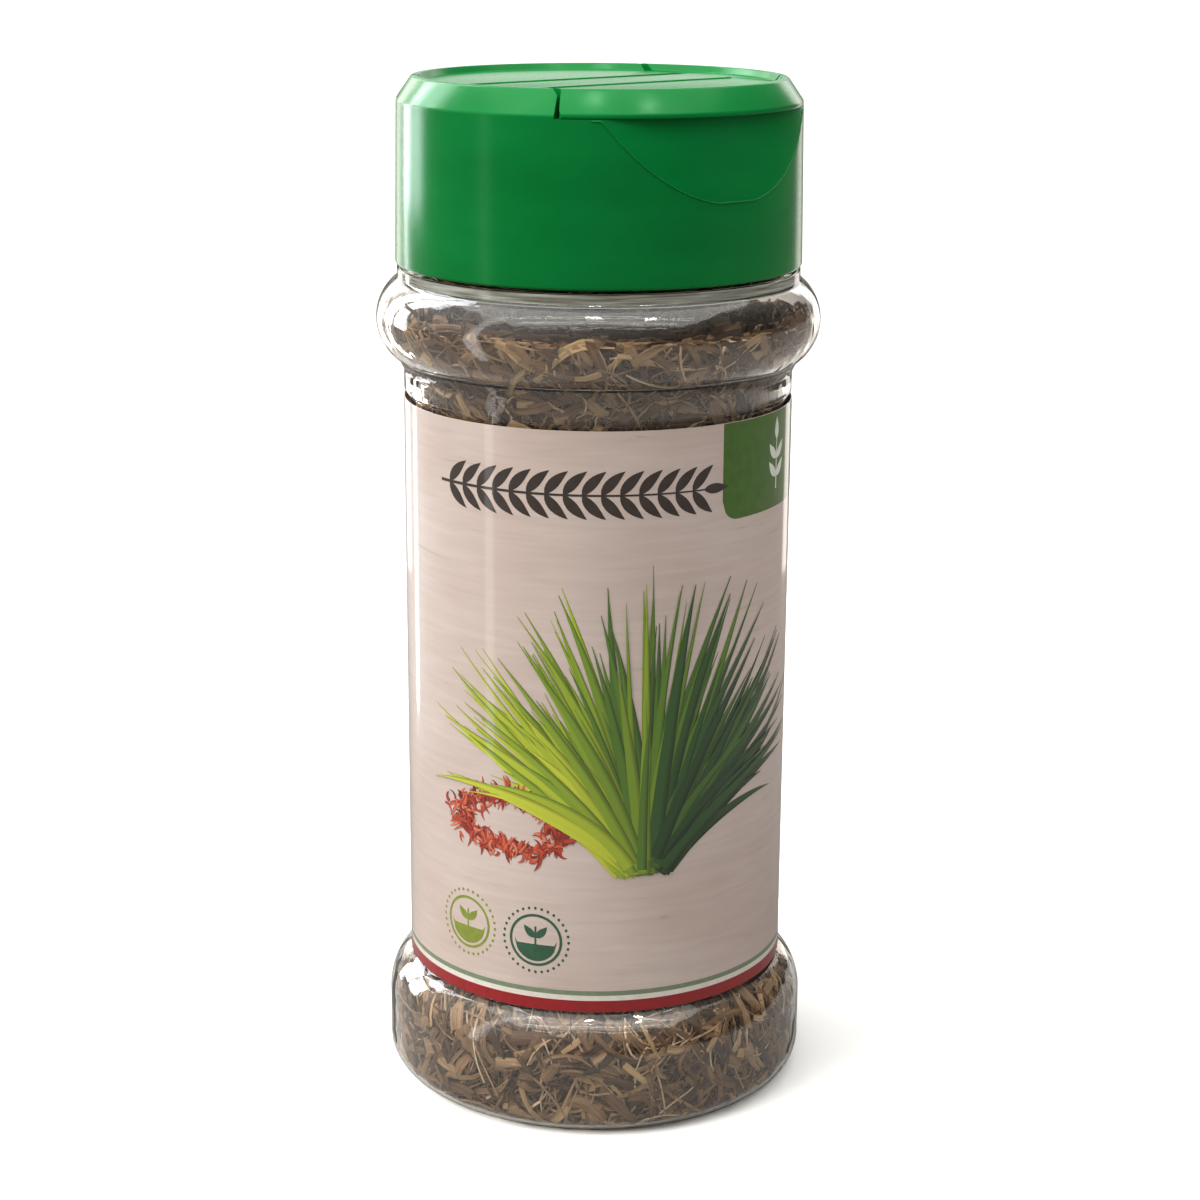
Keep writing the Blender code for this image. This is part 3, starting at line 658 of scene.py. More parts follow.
def board_print():
    """Print of a weathered, white-washed board: long faint grain across and a few darker streaks."""
    made, tree, shader = laminated("laminated_film_board_print")
    place = add(tree, "TexCoord").outputs["Object"]
    grain_scale = (1 / (9.0 * MM), 1 / (9.0 * MM), 1 / (0.7 * MM))
    grain_place = add(tree, "Mapping", {"Vector": place, "Scale": grain_scale})
    grain = add(tree, "TexNoise", {"Vector": grain_place, "Scale": 1.0, "Detail": 5.0, "Distortion": 0.6})
    wash = add(tree, "TexNoise", {"Vector": place, "Scale": 1 / (16.0 * MM), "Detail": 2.0})
    streaks = add(tree, "ValToRGB", {"Fac": grain},
                  stops=[(0.22, "#b8a9a0"), (0.32, "#d6c7be"), (0.6, "#ddcec6"), (0.85, "#e5d7cf")])
    tint = add(tree, "ValToRGB", {"Fac": wash}, stops=[(0.35, "#ece1db"), (0.65, "#fbf7f5")])
    mixed = add(tree, "MixRGB", {"Fac": 0.7, "Color1": streaks, "Color2": tint}, blend_type="MULTIPLY")
    connect(shader, {"Base Color": mixed})
    return made


def ink(name, code, other, size):
    """Plain printed ink under the laminate, with the slight mottle of print."""
    made, tree, shader = laminated(name)
    place = add(tree, "TexCoord").outputs["Object"]
    mottle = add(tree, "TexNoise", {"Vector": place, "Scale": 1 / (size * MM), "Detail": 3.0})
    tones = add(tree, "ValToRGB", {"Fac": mottle}, stops=[(0.35, code), (0.65, other)])
    connect(shader, {"Base Color": tones})
    return made


def blade_ink(name, stops):
    """Ink of a drawn blade: its own tone, full over most of it and darker towards one edge."""
    made, tree, shader = laminated(name)
    tone = add(tree, "Attribute", attribute_name="tone")
    across = add(tree, "SeparateXYZ", {"Vector": add(tree, "TexCoord").outputs["UV"]})
    edge = add(tree, "MapRange", {"Value": across, "From Min": 0.0, "From Max": 0.45,
                                  "To Min": 0.35, "To Max": 1.05})
    tones = add(tree, "ValToRGB", {"Fac": tone.outputs["Fac"]}, stops=stops)
    drawn = add(tree, "VectorMath", {0: tones, "Scale": edge}, operation="SCALE")
    connect(shader, {"Base Color": drawn})
    return made


def band_edges(low, high, *stations):
    """Edge pairs of an upright-sided band through places round the label."""
    return [((s, low), (s, high)) for s in stations]


def lap_lift(s):
    """Lift of the film off its own face: none, up to one thickness where it laps over its start."""
    return LABEL_THICKNESS * min(1.0, max(0.0, (s - lap_start) / LAP_RAMP))


film_places = (-label_half, lap_start, lap_start + LAP_RAMP, label_half + 0.2)
label_drawing = flat_drawing()
lay(label_drawing, band_edges(LABEL_LOW, LABEL_HIGH, *film_places), lap_lift, depth=LABEL_THICKNESS)
piece("label_film", wrapped(label_drawing), board_print(), JAR_BODY, "label_film", "label")


def band_lift(s):
    """Lift of a printed band, which runs on over the lap."""
    return lap_lift(s) + GROUND_LIFT


def drawing(name, shapes, finish):
    """Many printed shapes as one piece, each (edge pairs, lift) and, where they matter, (tone, columns)."""
    body = flat_drawing()
    for shape in shapes:
        lay(body, *shape)
    piece(name, wrapped(body), finish, JAR_BODY, "label_film")


band_places = (0.25 - label_half, lap_start, lap_start + LAP_RAMP, label_half + 0.15)
bands = [("foot_band", LABEL_LOW, 15.45, "ink_crimson", "#a00c18", "#900a14"),
         ("foot_pale_line", 15.45, 16.05, "ink_cream", "#e6ded2", "#efe8dd"),
         ("foot_line", 16.05, 16.6, "ink_sage", "#7f8f72", "#76876a")]
for band_name, low, high, ink_name, dark, light in bands:
    drawing(band_name, [(band_edges(low, high, *band_places), band_lift)], ink(ink_name, dark, light, 0.8))


def stroke(start, heading, length, bend, width, stations, taper):
    """Edge pairs of a drawn stroke that leaves a point and bends evenly; taper gives its width's share."""
    s, z = start
    step = length / (stations - 1)
    edges = []
    for n in range(stations):
        t = n / (stations - 1)
        angle = heading + bend * t
        half = width / 2 * taper(t)
        side = (-math.sin(angle) * half, math.cos(angle) * half)
        edges.append(((s - side[0], z - side[1]), (s + side[0], z + side[1])))
        s += step * math.cos(angle)
        z += step * math.sin(angle)
    return edges


def leaf_shape(t):
    """Width of a leaf along its length: narrow at its foot, widest before the middle, and pointed."""
    return max(0.04, math.sin(math.pi * t ** 0.8) ** 0.9)


def blade_shape(t):
    """Width of a grass blade along its length: even, then drawn out to a point."""
    return max(0.05, 1.0 - t ** 2.2)


def stem_shape(t):
    """Width of a stem along its length: half as wide at its tip."""
    return 1.0 - 0.5 * t


def leaf(lift, *line):
    """Printed leaf, two columns across, at a lift and from what a stroke takes before its taper."""
    return stroke(*line, leaf_shape), lift, 0.5, 2


GRASS_FOOT = (5.5, 31.0)
GRASS_BLADES = 190
BLADE_LIFT_STEP = 0.0006
CLIPPINGS = 380
CLIPPING_LIFT_STEP = 0.0002
grass_random = random.Random(5)
drawn_between = grass_random.uniform


def grass_strokes():
    """Blades of a growing tuft: they leave one foot, arch over to both sides and overlap."""
    strokes = []
    for n in range(GRASS_BLADES):
        lean = drawn_between(-1.0, 1.0)
        start = (GRASS_FOOT[0] + 2.6 * lean + drawn_between(-0.8, 0.8),
                 GRASS_FOOT[1] + drawn_between(-1.0, 1.5))
        heading = UPRIGHT - 0.75 * lean + drawn_between(-0.12, 0.12)
        length = drawn_between(18.0, 34.0) * (1.0 - 0.15 * abs(lean))
        bend = -lean * drawn_between(0.3, 1.15) + drawn_between(-0.15, 0.15)
        width = drawn_between(0.8, 1.75)
        tone = min(1.0, max(0.0, 0.5 + 0.42 * lean + drawn_between(-0.16, 0.16)))
        edges = stroke(start, heading, length, bend, width, 24, blade_shape)
        strokes.append((edges, INK_LIFT + BLADE_LIFT_STEP * n, tone))
    return strokes


GRASS_INKS = [(0.0, "#c9cf3c"), (0.25, "#9db32e"), (0.5, "#5f8427"), (0.75, "#2f5626"), (1.0, "#16301f")]
drawing("grass_print", grass_strokes(), blade_ink("ink_grass_greens", GRASS_INKS))


def clipping_strokes():
    """Short curled clippings laid in an oval ring."""
    strokes = []
    for n in range(CLIPPINGS):
        around = drawn_between(0.0, 2 * math.pi)
        spread = grass_random.gauss(1.0, 0.13)
        start = (-9.6 + 6.3 * spread * math.cos(around), 35.4 + 3.1 * spread * math.sin(around))
        edges = stroke(start, drawn_between(0.0, 2 * math.pi), drawn_between(0.9, 2.1),
                       drawn_between(-2.5, 2.5), drawn_between(0.28, 0.6), 6, blade_shape)
        strokes.append((edges, INK_LIFT + CLIPPING_LIFT_STEP * n, grass_random.random()))
    return strokes


RUSSET_INKS = [(0.0, "#6f2018"), (0.4, "#b13a28"), (0.75, "#cf5a3c"), (1.0, "#e58a68")]
drawing("clippings_print", clipping_strokes(), blade_ink("ink_russets", RUSSET_INKS))

SPRIG_HEIGHT = 72.4
SPRIG_PAIRS = 15


def sprig_strokes():
    """A long lying stem with pairs of leaves, near the label's top."""
    strokes = [(stroke((-19.0, SPRIG_HEIGHT), 0.0, 31.0, 0.0, 0.32, 40, stem_shape), INK_LIFT)]
    for n in range(SPRIG_PAIRS):
        foot = (-17.6 + 2.0 * n, SPRIG_HEIGHT)
        for side in (1, -1):
            lift = GROUND_LIFT + 0.001 * (n % 2)
            strokes.append(leaf(lift, foot, side * 0.95, 3.6, -side * 0.35, 1.15, 9))
    strokes.append(leaf(0.016, (11.8, SPRIG_HEIGHT), 0.0, 3.2, 0.0, 1.1, 9))
    return strokes


drawing("sprig_print", sprig_strokes(), ink("ink_umber", "#2e2420", "#382c26", 1.0))

PANEL_LEFT, PANEL_RIGHT, PANEL_FOOT, PANEL_CORNER = 14.3, 34.0, 68.6, 2.2
PANEL_COLUMNS = 44
PANEL_MIDDLE = 24.0


def panel_edges():
    """Edge pairs of the corner panel, which hangs from the label's top with rounded lower corners."""
    edges = []
    for n in range(PANEL_COLUMNS + 1):
        s = PANEL_LEFT + (PANEL_RIGHT - PANEL_LEFT) * n / PANEL_COLUMNS
        inward = max(0.0, PANEL_CORNER - (s - PANEL_LEFT), PANEL_CORNER - (PANEL_RIGHT - s))
        drop = PANEL_CORNER - math.sqrt(PANEL_CORNER ** 2 - inward ** 2)
        edges.append(((s, PANEL_FOOT + drop), (s, LABEL_HIGH - 0.05)))
    return edges


drawing("corner_panel_print", [(panel_edges(), 0.015)], ink("ink_leaf_green", "#3f6a0c", "#376008", 1.2))
panel_leaves = [(stroke((PANEL_MIDDLE, 70.6), UPRIGHT, 6.4, 0.0, 0.28, 9, stem_shape), LINE_LIFT)]
for height, side in ((72.0, 1), (72.0, -1), (74.0, 1), (74.0, -1), (76.0, 0)):
    foot = (PANEL_MIDDLE, height)
    panel_leaves.append(leaf(0.025, foot, UPRIGHT - side * 0.95, 2.5, side * 0.4, 1.0, 8))
drawing("panel_leaf_print", panel_leaves, ink("ink_white", "#e9efe2", "#dfe8d8", 1.0))

ORNAMENT_LIFT = 0.014
BEADS = 32
DISC_MARGIN = 0.02


def ring_edges(centre, inner, outer):
    """Edge pairs of a ring."""
    return list(zip(arc(centre, inner, 0.0, 360.0, 48), arc(centre, outer, 0.0, 360.0, 48)))


def disc_edges(centre, radius, top=1.0, steps=16):
    """Edge pairs of a disc, or of its lower part up to a share of its radius."""
    edges = []
    for n in range(steps + 1):
        s = radius * (2 * n / steps - 1)
        half = math.sqrt(max(0.0, radius ** 2 - s ** 2)) + DISC_MARGIN
        high = max(min(half, top * radius), DISC_MARGIN - half)
        edges.append(((centre[0] + s, centre[1] - half), (centre[0] + s, centre[1] + high)))
    return edges


def ornament(name, centre, finish):
    """Small round ornament: a ring of beads round a ring, with ground and a seedling inside it."""
    strokes = [(ring_edges(centre, 2.75, 3.05), ORNAMENT_LIFT),
               (disc_edges(centre, 2.45, -0.2), ORNAMENT_LIFT)]
    for spot in arc(centre, 3.75, 0.0, 360.0, BEADS)[:-1]:
        strokes.append((disc_edges(spot, 0.16, steps=5), ORNAMENT_LIFT))
    foot = (centre[0], centre[1] - 0.6)
    strokes.append((stroke(foot, UPRIGHT, 2.2, 0.0, 0.22, 6, lambda t: 1.0), INK_LIFT))
    for side in (1, -1):
        node = (foot[0], foot[1] + 0.9)
        strokes.append(leaf(0.018, node, UPRIGHT - side * 0.9, 1.9, side * 0.3, 0.85, 8))
    drawing(name, strokes, finish)


ornament("olive_ornament_print", (-15.3, 22.6), ink("ink_olive", "#8c9a35", "#7f8d30", 0.8))
ornament("green_ornament_print", (-6.6, 22.2), ink("ink_bottle_green", "#2d5f45", "#28563e", 0.8))

BACK_PANELS = [(-61.0, -38.0), (38.0, 60.0)]
BACK_LOW, BACK_HIGH = 20.0, 74.5
RULE = 0.22
LINE_SPACING = 4.4
BACK_LINES = 8
BACK_LEAF_PAIRS = 5


def back_panel_shapes(left, right):
    """Shapes of a plain panel: a double frame, ruled lines to write on, and an upright sprig below them."""
    shapes = []
    for inset in (1.0, 1.8):
        low, high = BACK_LOW + inset, BACK_HIGH - inset
        near, far = left + inset, right - inset
        for z in (low, high - RULE):
            shapes.append((band_edges(z, z + RULE, near, far), LINE_LIFT))
        for s in (near, far - RULE):
            shapes.append((band_edges(low, high, s, s + RULE), LINE_LIFT))
    for n in range(BACK_LINES):
        z = BACK_HIGH - 5.5 - LINE_SPACING * n
        shapes.append((band_edges(z, z + 0.6 * RULE, left + 3.6, right - 3.6), LINE_LIFT))
    middle = (left + right) / 2
    shapes.append((stroke((middle, BACK_LOW + 3.4), UPRIGHT, 12.0, 0.0, 0.3, 9, blade_shape), 0.034))
    for n in range(BACK_LEAF_PAIRS):
        foot = (middle, BACK_LOW + 5.2 + 1.9 * n)
        for side in (1, -1):
            length = 3.8 - 0.35 * n
            shapes.append(leaf(LINE_LIFT, foot, UPRIGHT - side * 0.95, length, side * 0.35, 1.2, 9))
    return shapes


back_grounds = [(band_edges(BACK_LOW, BACK_HIGH, *sides), GROUND_LIFT) for sides in BACK_PANELS]
drawing("back_panel_grounds", back_grounds, ink("ink_ivory", "#e9e2d6", "#f0eae0", 2.0))
back_lines = [shape for panel in BACK_PANELS for shape in back_panel_shapes(*panel)]
drawing("back_panel_lines", back_lines, ink("ink_umber_line", "#3a2c24", "#44352c", 1.0))

# Cap
# Green polypropylene, injection-moulded and glossy straight from the mould: a skirt with the thread inside,
# a deck with sifting holes and a spoon opening, and a fixed bar that both flaps hinge on. Thumb scoops
# under the flaps' lips leave a soft curved line on the skirt.

CAP_ANGLE = math.radians(-50.0)
cap_low, cap_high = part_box("cap_body")
CAP_BOTTOM = cap_low.z
CAP_FOOT_RADIUS = 22.3 * MM
CAP_RADIUS = 22.0 * MM
CAP_SHOULDER = 111.3 * MM
CAP_TOP = cap_high.z
CAP_FACE = 113.2 * MM
CAP_RIM_OUTER = 20.3 * MM
CAP_RIM_INNER = 19.2 * MM
SKIRT_BORE = 20.6 * MM
SKIRT_BORE_TOP = 19.95 * MM
SKIRT_STEP = 107.0 * MM
DECK_UNDERSIDE = 109.6 * MM
DECK_TOP = 111.0 * MM
HINGE_OFFSET = 4.2 * MM
HINGE_GAP = 0.3 * MM
FLAP_HALF_WIDTH = 15.8 * MM
FLAP_LIP_HALF_WIDTH = 17.1 * MM
FLAP_FLARE_START = 12.8 * MM
FLAP_SIDE_GAP = 0.5 * MM
SCOOP_DEPTH = 8.7 * MM
SCOOP_FACE_RADIUS = 27.0 * MM
SCOOP_OFFSET = 4.87 * MM
SCOOP_LEAN = 1.2 * MM
SCOOP_CURVE = 0.06 * MM
SCOOP_TOP = 1.03
SCOOP_HALF_ANGLE = math.radians(42.0)
SCOOP_EDGE_RADIUS = 0.1 * MM
SCOOP_EDGE_SINK = 0.03 * MM
SCOOP_EDGE_STEPS = 60
SCOOP_EDGE_TOP = 0.98
SCOOP_EDGE_RISE = 0.005
SKIRT_SLOPE = (CAP_FOOT_RADIUS - CAP_RADIUS) / (CAP_SHOULDER - CAP_BOTTOM)
SKIRT_ROW = 0.3 * MM
SIFTER_RADIUS = 2.3 * MM
SIFTER_PLACES = [(8.2, -10.5), (8.2, -3.5), (8.2, 3.5), (8.2, 10.5), (13.2, -7.0), (13.2, 0.0), (13.2, 7.0)]
SPOON_RADIUS = 16.9 * MM
SPOON_EDGE = 6.2 * MM
TOP_EDGE = [
    (0.0, CAP_FACE),
    (CAP_RIM_INNER, CAP_FACE, 0.15 * MM, 3),
    (CAP_RIM_INNER + 0.4 * MM, CAP_TOP, 0.15 * MM, 3),
    (CAP_RIM_OUTER, CAP_TOP, 0.4 * MM, 4),
]


def skin(rings):
    """Closed mesh over rings of points: a wall from each to the next, and a face on both ends."""
    body = bmesh.new()
    rings = [[body.verts.new(point) for point in ring] for ring in rings]
    body.faces.new(rings[0])
    body.faces.new(rings[-1])
    for first, second in zip(rings, rings[1:]):
        for n in range(len(first)):
            after = (n + 1) % len(first)
            body.faces.new((first[n], first[after], second[after], second[n]))
    return closed_mesh(body)


def prism(path, low, high):
    """Upright solid on a closed outline, between two heights."""
    return skin([[(x, y, height) for x, y in path] for height in (low, high)])


def pegs(low, high, low_radius, high_radius):
    """Upright cones at the sifting holes' places."""
    body = bmesh.new()
    for x, y in SIFTER_PLACES:
        middle = Matrix.Translation((x * MM, y * MM, (low + high) / 2))
        bmesh.ops.create_cone(body, cap_ends=True, segments=32, radius1=low_radius, radius2=high_radius,
                              depth=high - low, matrix=middle)
    return closed_mesh(body)


def turned(mesh, side=1, sharp=30.0):
    """The mesh turned from the cap's own axes to its place, on the front or the back side, and shaded."""
    mesh.transform(Matrix.Rotation(CAP_ANGLE if side > 0 else CAP_ANGLE + math.pi, 4, "Z"))
    return shaded(mesh, sharp)


def combined(mesh, steps):
    """The mesh after Boolean steps, each (operation, mesh)."""
    work = placed("work", mesh)
    tools = []
    for operation, tool_mesh in steps:
        tools.append(placed("tool", tool_mesh))
        boolean = work.modifiers.new(operation, "BOOLEAN")
        boolean.operation = operation
        boolean.solver = "EXACT"
        boolean.object = tools[-1]
    bpy.context.view_layer.update()
    evaluated = work.evaluated_get(bpy.context.evaluated_depsgraph_get())
    result = bpy.data.meshes.new_from_object(evaluated)
    for obj in [work, *tools]:
        bpy.data.objects.remove(obj, do_unlink=True)
    return result


def skirt_place(height):
    """Radius and height of a place on the skirt's outside, which widens towards its foot."""
    return CAP_RADIUS + (CAP_SHOULDER - height) * SKIRT_SLOPE, height


def scoop_reach(rise, along, across):
    """Distance from the cap's axis to a scoop's round face, at a share of its height and a direction."""
    shift = SCOOP_OFFSET + SCOOP_LEAN * rise + SCOOP_CURVE * rise ** 2
    return math.sqrt(SCOOP_FACE_RADIUS ** 2 - (shift * across) ** 2) - shift * along


def hollow_thumb_scoops(mesh):
    """Draws the skirt in to two round faces whose middles shift inward as they rise to the flaps."""
    bottom = DECK_TOP - SCOOP_DEPTH
    for vertex in mesh.vertices:
        radius = math.hypot(vertex.co.x, vertex.co.y)
        rise = (vertex.co.z - bottom) / SCOOP_DEPTH
        if radius < SKIRT_BORE + 0.1 * MM or not 0.0 < rise < SCOOP_TOP:
            continue
        limit = scoop_reach(rise, abs(vertex.co.x) / radius, vertex.co.y / radius)
        scale = min(limit, radius) / radius
        vertex.co.x *= scale
        vertex.co.y *= scale


def scoop_edge(side):
    """Fine moulded bead along the curve where a scoop meets the skirt."""
    rings = []
    for step in range(2 * SCOOP_EDGE_STEPS + 1):
        angle = SCOOP_HALF_ANGLE * (step / SCOOP_EDGE_STEPS - 1.0)
        rise = 0.0
        radius, height = CAP_RADIUS, DECK_TOP - SCOOP_DEPTH
        while rise < SCOOP_EDGE_TOP and scoop_reach(rise, math.cos(angle), math.sin(angle)) > radius:
            rise += SCOOP_EDGE_RISE
            radius, height = skirt_place(DECK_TOP - (1.0 - rise) * SCOOP_DEPTH)
        outward = Vector((side * math.cos(angle), side * math.sin(angle), 0.0))
        section = arc((radius - SCOOP_EDGE_SINK, height), SCOOP_EDGE_RADIUS, 0.0, 360.0, 8)[:-1]
        rings.append([outward * reach + Vector((0.0, 0.0, z)) for reach, z in section])
    return turned(skin(rings), sharp=50.0)


def spoon_outline(inset):
    """D-shaped opening on the back half of the deck, or the same shape drawn in by an inset."""
    radius = SPOON_RADIUS - inset
    edge = SPOON_EDGE + inset
    half = math.degrees(math.acos(edge / radius))
    curved = arc((0.0, 0.0), radius, 180.0 - half + 6.0, 180.0 + half - 6.0, 40)
    corner = math.sqrt(radius ** 2 - edge ** 2) - 2.0 * MM
    return curved + [(-edge, -corner), (-edge, corner)]


def pocket_outline(side):
    """Plan of the room for a flap on one side of the bar, open past the rim."""
    low = HINGE_OFFSET - HINGE_GAP / 2
    half = FLAP_HALF_WIDTH + FLAP_SIDE_GAP
    reach = math.asin((FLAP_LIP_HALF_WIDTH + FLAP_SIDE_GAP) / CAP_RADIUS)
    far = 1.4 * CAP_RADIUS
    corner = (far * math.cos(reach), far * math.sin(reach))
    right = [(low, half), (FLAP_FLARE_START, half), corner, (far, corner[1])]
    left = [(x, -y) for x, y in reversed(right)]
    return [(side * x, y) for x, y in left + right]


def cap_body_mesh():
    """Skirt, deck and bar, with the pockets for the flaps and the openings cut out."""
    scoops_low = DECK_TOP - SCOOP_DEPTH - 0.2 * MM
    skirt = run(skirt_place(DECK_TOP + 0.08 * MM), skirt_place(scoops_low), SKIRT_ROW)
    bore = run((SKIRT_BORE, CAP_BOTTOM + 1.0 * MM), (SKIRT_BORE, SKIRT_STEP), THREAD_ROW)
    profile = outline([
        *TOP_EDGE,
        (CAP_RADIUS, CAP_SHOULDER, 0.6 * MM, 6),
        *skirt,
        (CAP_FOOT_RADIUS, CAP_BOTTOM, 0.35 * MM, 5),
        (SKIRT_BORE, CAP_BOTTOM, 0.3 * MM, 3),
        *bore,
        (SKIRT_BORE, SKIRT_STEP),
        (SKIRT_BORE_TOP, SKIRT_STEP + 0.7 * MM),
        (SKIRT_BORE_TOP, DECK_UNDERSIDE),
        (0.0, DECK_UNDERSIDE),
    ])
    mesh = lathe(profile)
    hollow_thumb_scoops(mesh)
    cut_thread(mesh, SKIRT_BORE, -0.85 * MM, THREAD_START - THREAD_PITCH / 2, -CAP_ANGLE)
    cuts = [prism(pocket_outline(side), DECK_TOP, CAP_TOP + 2.0 * MM) for side in (1, -1)]
    low, high = DECK_UNDERSIDE - 1.0 * MM, DECK_TOP + 1.0 * MM
    cuts.append(pegs(low, high, SIFTER_RADIUS, SIFTER_RADIUS))
    cuts.append(prism(spoon_outline(0.0), low, high))
    return turned(combined(mesh, [("DIFFERENCE", cut) for cut in cuts]))


def green_polypropylene():
    """Moulded polypropylene: glossy, very slightly waxy, with faint flow lines and a fine satin grain that
    varies its gloss.
    """
    made, tree, shader = surface("moulded_green_polypropylene", Roughness=0.2, IOR=1.49,
                                 Specular_IOR_Level=0.35, Specular_Tint=colour("#a8e6b8"))
    place = add(tree, "TexCoord").outputs["Object"]
    flow_scale = (1 / (14.0 * MM), 1 / (14.0 * MM), 1 / (5.0 * MM))
    flow_place = add(tree, "Mapping", {"Vector": place, "Scale": flow_scale})
    flow = add(tree, "TexNoise", {"Vector": flow_place, "Scale": 1.0, "Detail": 3.0})
    tones = add(tree, "ValToRGB", {"Fac": flow}, stops=[(0.3, "#02702f"), (0.7, "#047b36")])
    satin = add(tree, "TexNoise", {"Vector": place, "Scale": 1 / (0.5 * MM), "Detail": 2.0})
    gloss = add(tree, "MapRange", {"Value": satin, "To Min": 0.14, "To Max": 0.28})
    bump = add(tree, "Bump", {"Height": satin, "Strength": 0.35, "Distance": 0.01 * MM})
    connect(shader, {"Base Color": tones, "Roughness": gloss, "Normal": bump})
    return made


cap_finish = green_polypropylene()
piece("cap_shell", cap_body_mesh(), cap_finish, JAR_BODY, "green_cap", "cap_body")
piece("front_scoop_edge", scoop_edge(1), cap_finish, JAR_BODY, "green_cap")
piece("back_scoop_edge", scoop_edge(-1), cap_finish, JAR_BODY, "green_cap")

# Flaps
# Moulded in one with the cap, hollow below, each hinged on a thin web along the bar. The front one carries
# a tapered plug for every sifting hole; the back one has a sealing wall that sits in the spoon opening.

FLAP_CORNER = 0.6 * MM
CUT_MARGIN = 1.0 * MM
FLAP_WALL = 1.3 * MM
FLAP_PLATE = 1.2 * MM
FLAP_UNDERSIDE = 111.03 * MM
PLUG_TOP_RADIUS = 1.95 * MM
PLUG_TIP_RADIUS = 1.3 * MM
PLUG_TIP = 110.4 * MM
PLUG_ROOT = CAP_FACE - FLAP_PLATE + 0.4 * MM
SEAL_INSET = 0.7 * MM
SEAL_WIDTH = 0.9 * MM
WEB_RADIUS = 0.13 * MM


def flap_outline(inset, arc_radius):
    """Plan of a flap: sides straight from the hinge that flare out across the chamfer to a round front."""
    low = HINGE_OFFSET + HINGE_GAP / 2 + inset
    half = FLAP_HALF_WIDTH - inset
    reach = math.degrees(math.asin((FLAP_LIP_HALF_WIDTH - inset) / arc_radius))
    round_front = arc((0.0, 0.0), arc_radius, -reach, reach, 56)
    rounded = [(*round_front[0], FLAP_CORNER, 6)] + round_front[2:-2] + [(*round_front[-1], FLAP_CORNER, 6)]
    left = [(low, -half), (FLAP_FLARE_START, -half)]
    right = [(FLAP_FLARE_START, half), (low, half)]
    return outline(left + rounded + right, closed=True)


def flap_mesh(side, plugs):
    """Raised-rimmed flap, cut to its plan, hollowed below and joined to what closes the deck's openings."""
    profile = outline([
        *TOP_EDGE,
        (CAP_RADIUS, CAP_SHOULDER + 0.15 * MM, 0.6 * MM, 6),
        (CAP_RADIUS, FLAP_UNDERSIDE, 0.15 * MM, 2),
        (0.0, FLAP_UNDERSIDE),
    ])
    low = FLAP_UNDERSIDE - CUT_MARGIN
    plan = prism(flap_outline(0.0, CAP_RADIUS + 0.1 * MM), low, CAP_TOP + CUT_MARGIN)
    hollow = prism(flap_outline(FLAP_WALL, CAP_RADIUS - FLAP_WALL), low, CAP_FACE - FLAP_PLATE)
    steps = [("INTERSECT", plan), ("DIFFERENCE", hollow), ("UNION", plugs)]
    return turned(combined(lathe(profile), steps), side)


def sealing_wall():
    """Thin upright wall that follows the spoon opening's edge, turned round for the front side."""
    outer, inner = ([(-x, -y) for x, y in spoon_outline(inset)]
                    for inset in (SEAL_INSET, SEAL_INSET + SEAL_WIDTH))
    middle = prism(inner, PLUG_TIP - CUT_MARGIN, PLUG_ROOT + CUT_MARGIN)
    return combined(prism(outer, PLUG_TIP + 0.2 * MM, PLUG_ROOT), [("DIFFERENCE", middle)])


def hinge_web(side):
    """Thin moulded web that the flap bends on, a bead along its hinge line."""
    middle = Matrix.Translation((side * HINGE_OFFSET, 0.0, CAP_FACE))
    body = bmesh.new()
    bmesh.ops.create_cone(body, cap_ends=True, segments=16, radius1=WEB_RADIUS, radius2=WEB_RADIUS,
                          depth=2 * FLAP_HALF_WIDTH - 1.0 * MM,
                          matrix=middle @ Matrix.Rotation(math.pi / 2, 4, "X"))
    return turned(closed_mesh(body))


front_flap = flap_mesh(1, pegs(PLUG_TIP, PLUG_ROOT, PLUG_TIP_RADIUS, PLUG_TOP_RADIUS))
piece("front_flap_shell", front_flap, cap_finish, "front_flap", "green_cap", "sifter_flap")
back_flap = flap_mesh(-1, sealing_wall())
piece("back_flap_shell", back_flap, cap_finish, "back_flap", "green_cap", "spoon_flap")
piece("front_hinge_web", hinge_web(1), cap_finish, JAR_BODY, "green_cap")
piece("back_hinge_web", hinge_web(-1), cap_finish, JAR_BODY, "green_cap")

# Studio
# A wide pale floor, a soft sky that is brightest up and to the left, panels beside and behind the jar
# that draw its bright edges, a paned window on the left, and the camera at the photograph's angle.

FLOOR_HALF = 12.0
FLOOR_BOUNCE = "#6c6864"
FLOOR_THROUGH_GLASS = 0.38
SKY_STRENGTH = 1.15


def studio_floor():
    """Matt floor that the camera sees pale, and that throws less light up at the jar and through it."""
    made, tree, shader = surface("matt_pale_floor", Roughness=0.9, Specular_IOR_Level=0.1)
    place = add(tree, "TexCoord").outputs["Object"]
    cloud = add(tree, "TexNoise", {"Vector": place, "Scale": 3.0})
    tones = add(tree, "ValToRGB", {"Fac": cloud}, stops=[(0.3, "#f6f6f5"), (0.7, "#f9f9f8")])
    ray = add(tree, "LightPath")
    through_glass = add(tree, "Math", {0: ray.outputs["Is Transmission Ray"], 1: FLOOR_THROUGH_GLASS},
                        operation="MULTIPLY")
    looked_at = add(tree, "Math", {0: ray.outputs["Is Camera Ray"], 1: through_glass}, operation="MAXIMUM")
    seen = add(tree, "MixRGB", {"Fac": looked_at, "Color1": colour(FLOOR_BOUNCE), "Color2": tones})
    connect(shader, {"Base Color": seen})
    body = bmesh.new()
    bmesh.ops.create_grid(body, x_segments=1, y_segments=1, size=FLOOR_HALF)
    mesh = closed_mesh(body)
    mesh.materials.append(made)
    placed("floor", mesh)


